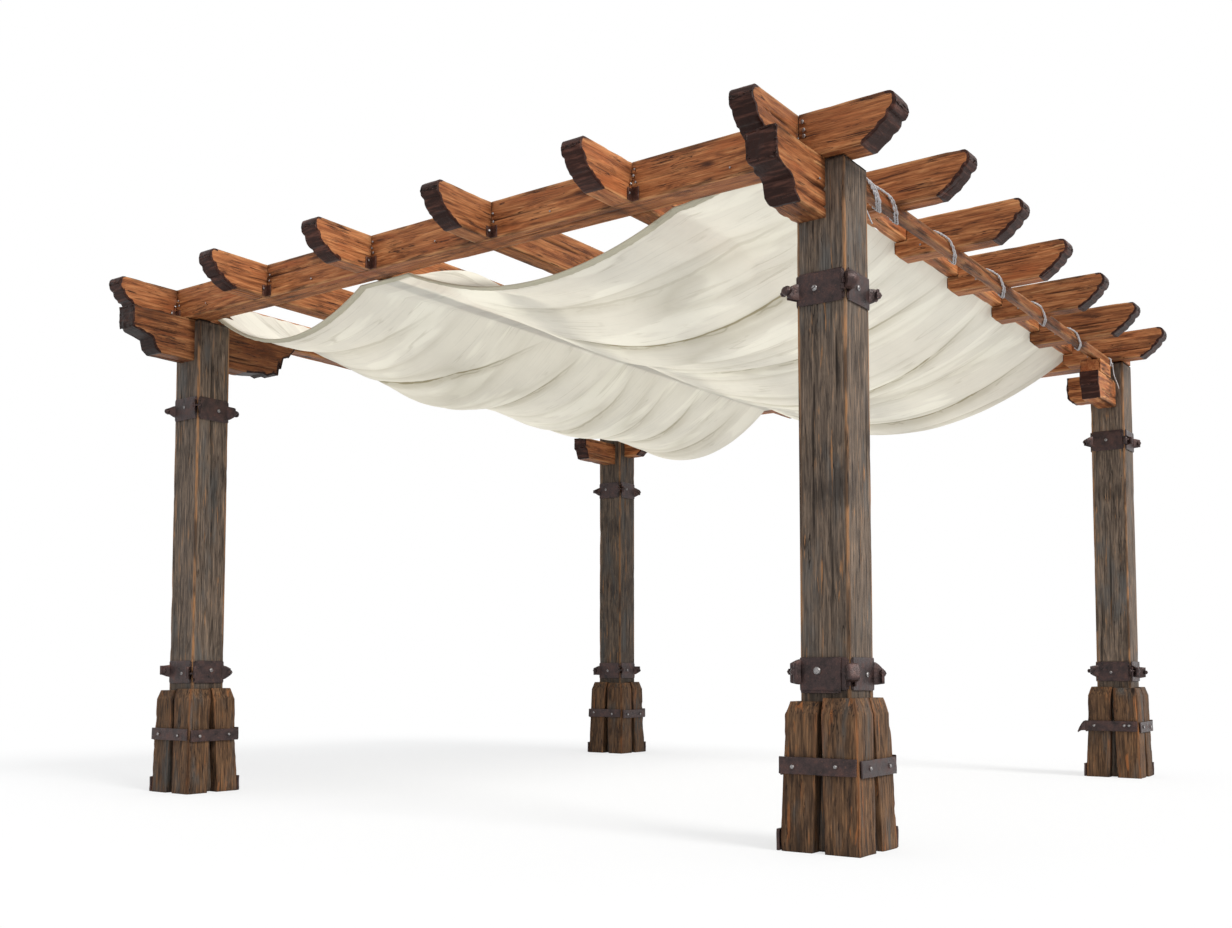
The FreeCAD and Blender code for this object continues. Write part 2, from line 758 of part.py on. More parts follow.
def lashing(index):
    off = size("CordOff")
    near = amount(linked(stub_front(index)))
    far = near + size("RafterWidth")
    outer = size("RailOuter")
    inner = size("RailInner")
    top = size("RoofTop") + off
    low = size("RailLow") - off
    one = (outer + off, near - off)
    two = (inner - off, far + off)
    points = [FreeCAD.Vector(one[0], one[1], top), FreeCAD.Vector(two[0], two[1], top),
              FreeCAD.Vector(two[0], two[1], low), FreeCAD.Vector(one[0], one[1], low)]
    return cord_tube(points, size("CordWidth") / 2, [size("CordTurn")] * 4, True)


def rail_ring(y):
    off = size("CordOff")
    outer = size("RailOuter") + off
    inner = size("RailInner") - off
    top = size("PostTop") + off
    low = size("RailLow") - off
    points = [FreeCAD.Vector(outer, y, top), FreeCAD.Vector(inner, y, top),
              FreeCAD.Vector(inner, y, low), FreeCAD.Vector(outer, y, low)]
    return cord_tube(points, size("CordWidth") / 2, [size("CordTurn")] * 4, True)


def lashings():
    head = size("SpanY") / 2 - size("PostSide") / 2
    last = amount(linked(stub_front(6)))
    loops = [lashing(i) for i in range(1, 6)]
    loops += [rail_ring(-head + size("RingFront")), rail_ring(last - size("RingBack"))]
    obj = doc.addObject("Part::Feature", "Lashings")
    obj.Label = "Lashings"
    obj.Shape = Part.makeCompound(loops)
    obj.Placement = FreeCAD.Placement(FreeCAD.Vector(0, 0, 0), FreeCAD.Rotation())
    return obj


# Loose cord ends hang from the first and last turns round the rail.
def cord_end(name, start, steps):
    points = [start]
    for dx, dy, dz in steps:
        points.append(points[-1] + FreeCAD.Vector(dx, dy, dz))
    turns = [0.0]
    for i in range(1, len(points) - 1):
        a = points[i] - points[i - 1]
        b = points[i + 1] - points[i]
        half = a.getAngle(b) / 2
        turns.append(0.45 * min(a.Length, b.Length) / math.tan(half))
    turns.append(0.0)
    print("%s bend radii %s" % (name, [round(t, 1) for t in turns[1:-1]]))
    for p in points:
        print("   point %.1f %.1f %.1f" % (p.x, p.y, p.z))
    obj = doc.addObject("Part::Feature", name)
    obj.Label = name
    obj.Shape = cord_tube(points, size("CordWidth") / 2, turns, False)
    obj.Placement = FreeCAD.Placement(FreeCAD.Vector(0, 0, 0), FreeCAD.Rotation())
    return obj


def cord_ends():
    head = size("SpanY") / 2 - size("PostSide") / 2
    last = amount(linked(stub_front(6)))
    x = size("RailOuter") + size("CordOff") + size("CordWidth")
    z = (size("PostTop") + size("RailLow")) / 2
    steps = [(2, -1, -42), (9, 5, -46), (16, 3, -44), (13, 12, -40)]
    start = FreeCAD.Vector(x, -head + size("RingFront"), z)
    nodes["cord_end_front"] = cord_end("CordEndFront", start, steps)
    steps = [(2, 1, -42), (8, -6, -44), (17, -2, -42), (12, -13, -38)]
    start = FreeCAD.Vector(x, last - size("RingBack"), z)
    nodes["cord_end_back"] = cord_end("CordEndBack", start, steps)


cord_ends()
nodes["lashings"] = lashings()
doc.recompute()

bad = 0
for obj in doc.Objects:
    if "Invalid" in obj.State or "Error" in obj.State:
        print("state", obj.Name, obj.State)
        bad += 1
for node, obj in nodes.items():
    if obj.Shape.isNull() or not obj.Shape.isValid():
        print("shape", node)
        bad += 1
if bad:
    raise RuntimeError("the model has %d faults" % bad)

os.makedirs("parts", exist_ok=True)
for node in sorted(nodes):
    shape = nodes[node].Shape
    shape.exportStep("parts/%s.step" % node)
    box = shape.BoundBox
    print("%-26s solids %d  x %.0f..%.0f y %.0f..%.0f z %.0f..%.0f vol %.5f" % (
        node, len(shape.Solids), box.XMin, box.XMax, box.YMin, box.YMax, box.ZMin, box.ZMax,
        shape.Volume / 1e9))
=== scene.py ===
import math
import random

import bpy
import numpy as np
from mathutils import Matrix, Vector


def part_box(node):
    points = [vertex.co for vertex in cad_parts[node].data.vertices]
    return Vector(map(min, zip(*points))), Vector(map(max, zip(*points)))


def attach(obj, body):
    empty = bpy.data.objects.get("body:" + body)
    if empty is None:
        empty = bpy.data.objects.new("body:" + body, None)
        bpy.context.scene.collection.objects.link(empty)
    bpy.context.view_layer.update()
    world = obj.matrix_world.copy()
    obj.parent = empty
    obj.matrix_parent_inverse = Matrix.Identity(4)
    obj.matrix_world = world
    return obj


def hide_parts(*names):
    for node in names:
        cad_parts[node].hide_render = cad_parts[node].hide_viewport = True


# Looks of a timber garden gazebo with a hung cloth canopy. Metres, Z up, floor at zero.

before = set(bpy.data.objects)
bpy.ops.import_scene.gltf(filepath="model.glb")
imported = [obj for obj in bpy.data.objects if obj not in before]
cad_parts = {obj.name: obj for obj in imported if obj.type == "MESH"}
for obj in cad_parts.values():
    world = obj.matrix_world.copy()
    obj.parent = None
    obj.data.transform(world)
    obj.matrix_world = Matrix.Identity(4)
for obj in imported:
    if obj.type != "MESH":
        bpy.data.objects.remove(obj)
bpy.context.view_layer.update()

# Named places, read from the frame.
post_low, post_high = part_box("post_front_right")
beam_low, beam_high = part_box("front_beam")
rear_low, rear_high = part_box("back_beam")
rail_low, rail_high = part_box("side_rail")
purlin_low, purlin_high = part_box("side_purlin")
POST_TOP = post_high.z
ROOF_TOP = beam_high.z
POST_SIDE = post_high.x - post_low.x
BEAM_DEPTH = beam_high.z - beam_low.z
LAP_DEPTH = 0.086
LAP_GAP = 0.001
RAIL_TOP_EXTRA = 0.012
RAFTERS = ["rafter_%d" % i for i in range(1, 6)]
STUBS = ["side_stub_%d" % i for i in range(1, 7)]
CORNERS = ("front_left", "front_right", "back_right", "back_left")


# Repeatable noise.
def lattice(cell, seed):
    h = cell[:, 0] * 374761393 + cell[:, 1] * 668265263 + cell[:, 2] * 1442695041 + seed * 974634777
    h = h & 0xFFFFFFFF
    h = ((h ^ (h >> 13)) * 1274126177) & 0xFFFFFFFF
    return ((h ^ (h >> 16)) & 0xFFFFFF) / float(0xFFFFFF)


def noise(points, seed=0):
    low = np.floor(points)
    part = points - low
    part = part * part * (3 - 2 * part)
    cell = low.astype(np.int64)
    total = np.zeros(len(points))
    for dx in (0, 1):
        wx = part[:, 0] if dx else 1 - part[:, 0]
        for dy in (0, 1):
            wy = part[:, 1] if dy else 1 - part[:, 1]
            for dz in (0, 1):
                wz = part[:, 2] if dz else 1 - part[:, 2]
                total += wx * wy * wz * lattice(cell + np.array([dx, dy, dz]), seed)
    return 2 * total - 1


def fractal(points, octaves, seed=0):
    total = np.zeros(len(points))
    reach = 0.0
    for i in range(octaves):
        total += noise(points * 2 ** i, seed + 17 * i) * 0.5 ** i
        reach += 0.5 ** i
    return total / reach


def smooth(t):
    t = np.clip(t, 0, 1)
    return t * t * (3 - 2 * t)


# Materials.
class Nodes:
    def __init__(self, name):
        self.material = bpy.data.materials.new(name)
        self.material.use_nodes = True
        self.tree = self.material.node_tree
        self.shader = self.tree.nodes["Principled BSDF"]
        self.output = self.tree.nodes["Material Output"]

    def add(self, kind, **settings):
        node = self.tree.nodes.new("ShaderNode" + kind)
        for key, value in settings.items():
            if hasattr(node, key):
                setattr(node, key, value)
            else:
                node.inputs[key.replace("_", " ")].default_value = value
        return node

    def link(self, source, target):
        self.tree.links.new(source, target)
        return target

    def attribute(self, name):
        return self.add("Attribute", attribute_name=name)

    def stretched(self, vector, scale):
        node = self.add("Mapping")
        node.inputs["Scale"].default_value = scale
        self.link(vector, node.inputs["Vector"])
        return node.outputs["Vector"]

    def noise(self, vector, scale, detail=3.0, roughness=0.55, distortion=0.0):
        node = self.add("TexNoise", Scale=scale, Detail=detail, Roughness=roughness, Distortion=distortion)
        self.link(vector, node.inputs["Vector"])
        return node.outputs["Fac"]

    def ramp(self, value, stops, blend="LINEAR"):
        node = self.add("ValToRGB")
        node.color_ramp.interpolation = blend
        ramp = node.color_ramp
        while len(ramp.elements) < len(stops):
            ramp.elements.new(0.5)
        for element, (place, colour) in zip(ramp.elements, stops):
            element.position = place
            element.color = colour if len(colour) == 4 else (*colour, 1)
        self.link(value, node.inputs["Fac"])
        return node.outputs["Color"]

    def gate(self, value, low, high):
        node = self.add("MapRange", interpolation_type="SMOOTHSTEP")
        node.inputs["From Min"].default_value = low
        node.inputs["From Max"].default_value = high
        self.link(value, node.inputs["Value"])
        return node.outputs["Result"]

    def maths(self, operation, a, b=None):
        node = self.add("Math", operation=operation)
        for socket, value in zip(node.inputs, (a, b)):
            if value is None:
                continue
            if isinstance(value, (int, float)):
                socket.default_value = value
            else:
                self.link(value, socket)
        return node.outputs["Value"]

    def mix(self, factor, a, b, blend="MIX"):
        node = self.add("Mix", data_type="RGBA", blend_type=blend)
        sockets = {s.identifier: s for s in node.inputs}
        for key, value in (("Factor_Float", factor), ("A_Color", a), ("B_Color", b)):
            if isinstance(value, tuple):
                sockets[key].default_value = (*value, 1)
            elif isinstance(value, (int, float)):
                sockets[key].default_value = value
            else:
                self.link(value, sockets[key])
        return {s.identifier: s for s in node.outputs}["Result_Color"]

    def bump(self, height, strength, distance, before=None):
        node = self.add("Bump", Strength=strength, Distance=distance)
        self.link(height, node.inputs["Height"])
        if before is not None:
            self.link(before, node.inputs["Normal"])
        return node.outputs["Normal"]


def wood(name, palette, streak, cracks, rough, pin, warm):
    n = Nodes(name)
    grain = n.attribute("grain").outputs["Vector"]
    wear = n.attribute("wear").outputs["Fac"]
    end = n.attribute("end").outputs["Fac"]
    groove = n.attribute("groove").outputs["Fac"]
    contact_shade = n.attribute("contact_shade").outputs["Fac"]
    tone = n.attribute("tone").outputs["Fac"]
    fibre = n.noise(n.stretched(grain, (1, 1, 0.035)), 300, 3, 0.6)
    pins = n.noise(n.stretched(grain, (1, 1, 0.028)), 165, 3, 0.6)
    bands = n.noise(n.stretched(grain, (1, 1, 0.10)), streak, 5, 0.66, 0.6)
    wide = n.noise(n.stretched(grain, (1, 1, 0.25)), 11, 3, 0.6)
    dash = n.noise(n.stretched(grain, (1, 1, 0.085)), 105, 3, 0.55)
    split = n.noise(n.stretched(grain, (1, 1, 0.045)), 34, 4, 0.55, 0.5)
    stain = n.noise(n.stretched(grain, (1, 1, 0.4)), 9, 5, 0.65)
    heat = n.noise(n.stretched(grain, (1, 1, 0.07)), 48, 4, 0.65, 0.4)
    patchy = n.noise(n.stretched(grain, (1, 1, 0.4)), 9, 2)
    dark, body, light, worn, tint, tip = palette
    colour = n.ramp(bands, [(0.30, dark), (0.46, body), (0.60, light), (0.78, worn)])
    colour = n.mix(n.gate(wide, 0.50, 0.72), colour, tint)
    colour = n.mix(pin, colour, n.ramp(pins, [(0.34, (0.38,) * 3), (0.48, (0.90,) * 3), (0.60, (1.35,) * 3),
                                              (0.74, (1.80,) * 3)]), "MULTIPLY")
    colour = n.mix(0.7, colour, n.ramp(fibre, [(0.28, (0.55,) * 3), (0.52, (1.0,) * 3), (0.80, (1.3,) * 3)]), "MULTIPLY")
    colour = n.mix(n.maths("MULTIPLY", n.gate(heat, 0.66 - warm, 0.74 - warm), 0.75), colour, worn)
    colour = n.mix(n.maths("MULTIPLY", n.gate(stain, 0.54, 0.70), 0.62), colour, dark)
    worn_at = n.maths("MULTIPLY", n.gate(wear, 0.35, 0.95), n.gate(dash, 0.30, 0.60))
    colour = n.mix(n.maths("MULTIPLY", worn_at, 0.6 + 4 * warm), colour, worn)
    burnt = n.maths("MULTIPLY", n.gate(wear, 0.25, 0.80), n.gate(patchy, 0.50, 0.62))
    colour = n.mix(n.maths("MULTIPLY", burnt, 0.75), colour, dark)
    # painted shade where parts meet and where a footing meets the floor, broken up by the stain noise
    patchy_contact_shade = n.maths("MULTIPLY", contact_shade, n.gate(stain, 0.25, 0.55))
    colour = n.mix(n.maths("MULTIPLY", patchy_contact_shade, 0.55), colour, tuple(0.5 * c for c in dark))
    line = n.maths("ABSOLUTE", n.maths("SUBTRACT", split, 0.5))
    thin = n.maths("SUBTRACT", 1.0, n.gate(line, 0.002, 0.013))
    thin = n.maths("MULTIPLY", thin, n.gate(patchy, 0.46, 0.58))
    fleck = n.gate(dash, 1 - cracks, 1 - cracks + 0.06)
    knots = n.add("TexVoronoi", Scale=4.5)
    n.link(n.stretched(grain, (1, 1, 0.4)), knots.inputs["Vector"])
    knot = n.maths("SUBTRACT", 1.0, n.gate(knots.outputs["Distance"], 0.035, 0.095))
    open_at = n.maths("MAXIMUM", n.maths("MAXIMUM", thin, fleck), n.maths("MAXIMUM", groove, knot))
    colour = n.mix(n.maths("MULTIPLY", open_at, 0.90), colour, tip)
    layers = n.noise(n.stretched(grain, (0.12, 1, 1)), 62, 4, 0.65)
    cut = n.mix(n.gate(layers, 0.46, 0.76), tip, (0.115, 0.044, 0.030))
    ended = n.gate(end, 0.25, 0.60)
    colour = n.mix(ended, colour, cut)
    colour = n.mix(1.0, colour, n.ramp(tone, [(0.0, (0.50,) * 3), (0.5, (1.0,) * 3), (1.0, (1.25,) * 3)]), "MULTIPLY")
    n.link(colour, n.shader.inputs["Base Color"])
    gloss = n.ramp(bands, [(0.2, (rough - 0.10,) * 3), (0.8, (rough + 0.12,) * 3)])
    n.link(n.mix(n.maths("MULTIPLY", ended, 0.7), gloss, (0.40, 0.40, 0.40)), n.shader.inputs["Roughness"])
    n.shader.inputs["Specular IOR Level"].default_value = 0.16
    relief = n.maths("SUBTRACT", n.maths("MULTIPLY", fibre, 0.55), n.maths("MULTIPLY", open_at, 0.9))
    relief = n.maths("ADD", relief, n.maths("MULTIPLY", n.maths("ADD", bands, pins), 0.4))
    relief = n.maths("MULTIPLY", relief, n.maths("SUBTRACT", 1.0, n.maths("MULTIPLY", ended, 0.75)))
    n.link(n.bump(relief, 0.6, 0.004), n.shader.inputs["Normal"])
    return n.material


def iron(name, deep, body, rusty, bright):
    n = Nodes(name)
    place = n.add("TexCoord").outputs["Object"]
    broad = n.noise(place, 22, 5, 0.65)
    fine = n.noise(place, 240, 4, 0.6)
    pits = n.noise(place, 90, 3, 0.6)
    colour = n.ramp(broad, [(0.30, deep), (0.50, body), (0.66, rusty), (0.82, bright)])
    colour = n.mix(0.7, colour, n.ramp(fine, [(0.3, (0.55,) * 3), (0.7, (1.35,) * 3)]), "MULTIPLY")
    colour = n.mix(n.maths("MULTIPLY", n.gate(pits, 0.60, 0.72), 0.4), colour, bright)
    n.link(colour, n.shader.inputs["Base Color"])
    n.shader.inputs["Metallic"].default_value = 0.55
    n.link(n.ramp(broad, [(0.3, (0.24,) * 3), (0.75, (0.55,) * 3)]), n.shader.inputs["Roughness"])
    n.link(n.bump(n.maths("ADD", fine, n.maths("MULTIPLY", broad, 2.0)), 0.6, 0.0025), n.shader.inputs["Normal"])
    return n.material


def steel():
    n = Nodes("worn_steel")
    place = n.add("TexCoord").outputs["Object"]
    spots = n.noise(place, 400, 4, 0.6)
    n.link(n.ramp(spots, [(0.35, (0.10, 0.09, 0.09)), (0.6, (0.40, 0.39, 0.39))]), n.shader.inputs["Base Color"])
    n.shader.inputs["Metallic"].default_value = 0.8
    n.link(n.ramp(spots, [(0.3, (0.30,) * 3), (0.7, (0.5,) * 3)]), n.shader.inputs["Roughness"])
    n.link(n.bump(spots, 0.3, 0.001), n.shader.inputs["Normal"])
    return n.material


def thin_line(n, value, inner, outer):
    return n.maths("SUBTRACT", 1.0, n.gate(n.maths("ABSOLUTE", value), inner, outer))


def cloth(name, body, shadow):
    n = Nodes(name)
    place = n.attribute("weave").outputs["Vector"]
    warp = n.noise(n.stretched(place, (1, 0.02, 1)), 520, 3, 0.6)
    weft = n.noise(n.stretched(place, (0.02, 1, 1)), 520, 3, 0.6)
    slub = n.noise(n.stretched(place, (0.05, 1, 1)), 60, 4, 0.6)
    drift = n.noise(n.stretched(place, (1, 1, 1)), 3.0, 4, 0.6)
    # painted crease and wrinkle shade stored on the mesh
    crease_shade = n.attribute("crease_shade").outputs["Fac"]
    threads = n.maths("ADD", warp, weft)
    colour = n.mix(n.gate(drift, 0.35, 0.70), body, tuple(0.93 * c for c in body))
    colour = n.mix(n.maths("MULTIPLY", n.gate(slub, 0.50, 0.80), 0.55), colour, tuple(0.80 * c for c in body))
    # random paler patches in the cloth
    paler_patches = n.noise(n.stretched(place, (0.5, 1.6, 1)), 2.4, 3, 0.5)
    colour = n.mix(n.maths("MULTIPLY", n.gate(paler_patches, 0.53, 0.58), 0.6), colour, tuple(min(0.9, 1.14 * c) for c in body))
    # painted shade along the creases: a sharp line, a second thin line beside it and a soft band on one side, all mixed
    # towards the shadow colour
    parts = n.add("SeparateXYZ")
    n.link(n.attribute("fold").outputs["Vector"], parts.inputs[0])
    wander = n.noise(n.stretched(place, (1, 0.3, 1)), 5.0, 3, 0.5)
    phase = n.maths("ADD", parts.outputs["X"], n.maths("MULTIPLY", n.maths("SUBTRACT", wander, 0.5), 0.10))
    across = n.maths("SUBTRACT", n.maths("FRACT", n.maths("ADD", phase, 0.5)), 0.5)
    away = n.maths("MULTIPLY", across, parts.outputs["Z"])
    broken = n.noise(n.stretched(place, (1, 0.2, 1)), 4.0, 3, 0.6)
    line = n.maths("MULTIPLY", thin_line(n, away, 0.004, 0.020), n.gate(broken, 0.22, 0.38))
    beside = n.maths("ADD", away, n.maths("MULTIPLY", n.maths("ADD", wander, -0.38), -0.16))
    second = n.maths("MULTIPLY", thin_line(n, beside, 0.003, 0.013), n.gate(broken, 0.40, 0.52))
    shade = n.maths("SUBTRACT", away, 0.022)
    halo = n.maths("MULTIPLY", thin_line(n, shade, 0.0, 0.085), 0.46)
    lines = n.maths("MAXIMUM", n.maths("MAXIMUM", line, halo), n.maths("MULTIPLY", second, 0.7))
    lines = n.maths("MULTIPLY", lines, parts.outputs["Y"])
    # painted shade of faint wrinkles
    veil = n.noise(n.stretched(place, (0.07, 1, 1)), 9.0, 2, 0.5, 0.5)
    faint = n.maths("MULTIPLY", thin_line(n, n.maths("SUBTRACT", veil, 0.5), 0.001, 0.014), n.gate(drift, 0.42, 0.60))
    lines = n.maths("MAXIMUM", lines, n.maths("MULTIPLY", faint, 0.26))
    colour = n.mix(n.maths("MULTIPLY", n.maths("MAXIMUM", lines, crease_shade), 0.85), colour, shadow)
    colour = n.mix(0.7, colour, n.ramp(threads, [(0.35, (0.86,) * 3), (0.62, (1.06,) * 3)]), "MULTIPLY")
    n.link(colour, n.shader.inputs["Base Color"])
    n.shader.inputs["Roughness"].default_value = 0.92
    n.shader.inputs["Specular IOR Level"].default_value = 0.15
    normal = n.bump(threads, 0.25, 0.0012)
    normal = n.bump(slub, 0.35, 0.004, normal)
    normal = n.bump(n.maths("SUBTRACT", 1.0, lines), 0.5, 0.008, normal)
    n.link(normal, n.shader.inputs["Normal"])
    through = n.add("BsdfTranslucent")
    n.link(n.mix(0.5, colour, (0.95, 0.90, 0.78), "MULTIPLY"), through.inputs["Color"])
    n.link(normal, through.inputs["Normal"])
    both = n.add("MixShader")
    both.inputs["Fac"].default_value = 0.33
    n.link(n.shader.outputs["BSDF"], both.inputs[1])
    n.link(through.outputs["BSDF"], both.inputs[2])
    n.link(both.outputs["Shader"], n.output.inputs["Surface"])
    return n.material


def cord_fibre():
    n = Nodes("cord_fibre")
    place = n.add("TexCoord").outputs["Object"]
    fibre_and_painted_sheen = n.noise(place, 500, 3, 0.6)
    # pale and dark flecks: fibre, partly painted highlight and shade of the twisted strands
    n.link(n.ramp(fibre_and_painted_sheen, [(0.30, (0.15, 0.14, 0.14)), (0.52, (0.44, 0.42, 0.43)), (0.72, (0.74, 0.73, 0.74))]),
           n.shader.inputs["Base Color"])
    n.shader.inputs["Roughness"].default_value = 0.8
    n.link(n.bump(fibre_and_painted_sheen, 0.5, 0.001), n.shader.inputs["Normal"])
    return n.material


# Palettes: dark, body, light, worn, tint, cut end.
ROOF_WOOD = wood("roof_oak", ((0.070, 0.023, 0.010), (0.300, 0.102, 0.036), (0.450, 0.182, 0.070),
                              (0.590, 0.300, 0.130), (0.320, 0.096, 0.032), (0.027, 0.008, 0.005)),
                 44, 0.355, 0.52, 0.42, 0.03)
POST_WOOD = wood("post_oak", ((0.032, 0.023, 0.018), (0.092, 0.068, 0.052), (0.155, 0.114, 0.084),
                              (0.330, 0.160, 0.066), (0.088, 0.080, 0.073), (0.012, 0.009, 0.007)),
                 72, 0.335, 0.62, 0.60, 0.05)
FOOT_WOOD = wood("foot_oak", ((0.022, 0.012, 0.007), (0.086, 0.047, 0.026), (0.145, 0.080, 0.041),
                              (0.310, 0.112, 0.035), (0.070, 0.064, 0.058), (0.008, 0.005, 0.004)),
                 76, 0.360, 0.68, 0.68, 0.055)
IRON = iron("old_iron", (0.018, 0.012, 0.012), (0.048, 0.029, 0.028), (0.082, 0.042, 0.036), (0.165, 0.080, 0.058))
RUST = iron("rusty_iron", (0.030, 0.014, 0.011), (0.075, 0.032, 0.023), (0.125, 0.050, 0.030), (0.220, 0.090, 0.045))
STEEL = steel()
CLOTH = cloth("canopy_cloth", (0.800, 0.780, 0.695), (0.235, 0.198, 0.095))
HEM = cloth("canopy_hem", (0.650, 0.618, 0.495), (0.235, 0.198, 0.095))
CORD = cord_fibre()


# Mesh helpers.
def build(name, points, faces, material, layers=None, sharp=False):
    mesh = bpy.data.meshes.new(name)
    mesh.from_pydata([tuple(p) for p in points.tolist()], [], faces)
    mesh.polygons.foreach_set("use_smooth", [not sharp] * len(mesh.polygons))
    for key, values in (layers or {}).items():
        if values.ndim == 2:
            layer = mesh.attributes.new(key, "FLOAT_VECTOR", "POINT")
            layer.data.foreach_set("vector", values.astype(np.float32).ravel())
        else:
            layer = mesh.attributes.new(key, "FLOAT", "POINT")
            layer.data.foreach_set("value", values.astype(np.float32))
    mesh.materials.append(material)
    mesh.update()
    obj = bpy.data.objects.new(name, mesh)
    bpy.context.scene.collection.objects.link(obj)
    return obj


def spaced(length, step, edges=(0.0025, 0.006)):
    last = edges[-1]
    count = max(2, int(round((length - 2 * last) / step)) + 1)
    middle = np.linspace(last, length - last, count)
    near = np.array((0.0, *edges[:-1]))
    return np.concatenate([near, middle, length - near[::-1]])


def stations(low, high, breaks, fine, coarse, near):
    places = [low, high]
    for start in (low, high):
        way = 1 if start == low else -1
        places += [start + way * d for d in (0.0025, 0.006)]
        places += [start + way * d for d in np.arange(0.006 + fine, near, fine)]
    places += list(np.arange(low + near, high - near, coarse))
    places += list(breaks)
    places = np.unique(np.round([p for p in places if low <= p <= high], 5))
    keep = [places[0]]
    for p in places[1:]:
        if p - keep[-1] > 0.0004:
            keep.append(p)
    return np.array(keep)


def end_outline(bottom, top, start, way, base):
    """Segments of a shaped end: its nose, its end face and its underside up to the full depth."""
    nose = sorted([p for p in top if abs(p[0] - start) < 0.06], key=lambda p: -way * p[0])
    line = list(nose)
    for place in sorted(bottom, key=lambda p: way * p[0]):
        line.append(place)
        if place[1] <= base + 0.0001:
            break
    return list(zip(line[:-1], line[1:]))


def away_from(ss, bb, segments):
    nearest = np.full(len(ss), 9.0)
    for (s1, v1), (s2, v2) in segments:
        ds, dv = s2 - s1, v2 - v1
        t = np.clip(((ss - s1) * ds + (bb - v1) * dv) / max(ds * ds + dv * dv, 1e-12), 0, 1)
        nearest = np.minimum(nearest, np.hypot(ss - s1 - t * ds, bb - v1 - t * dv))
    return nearest


AXIS = {"X": (1, 2, 0), "Y": (0, 2, 1), "Z": (0, 1, 2)}
timber_count = 0


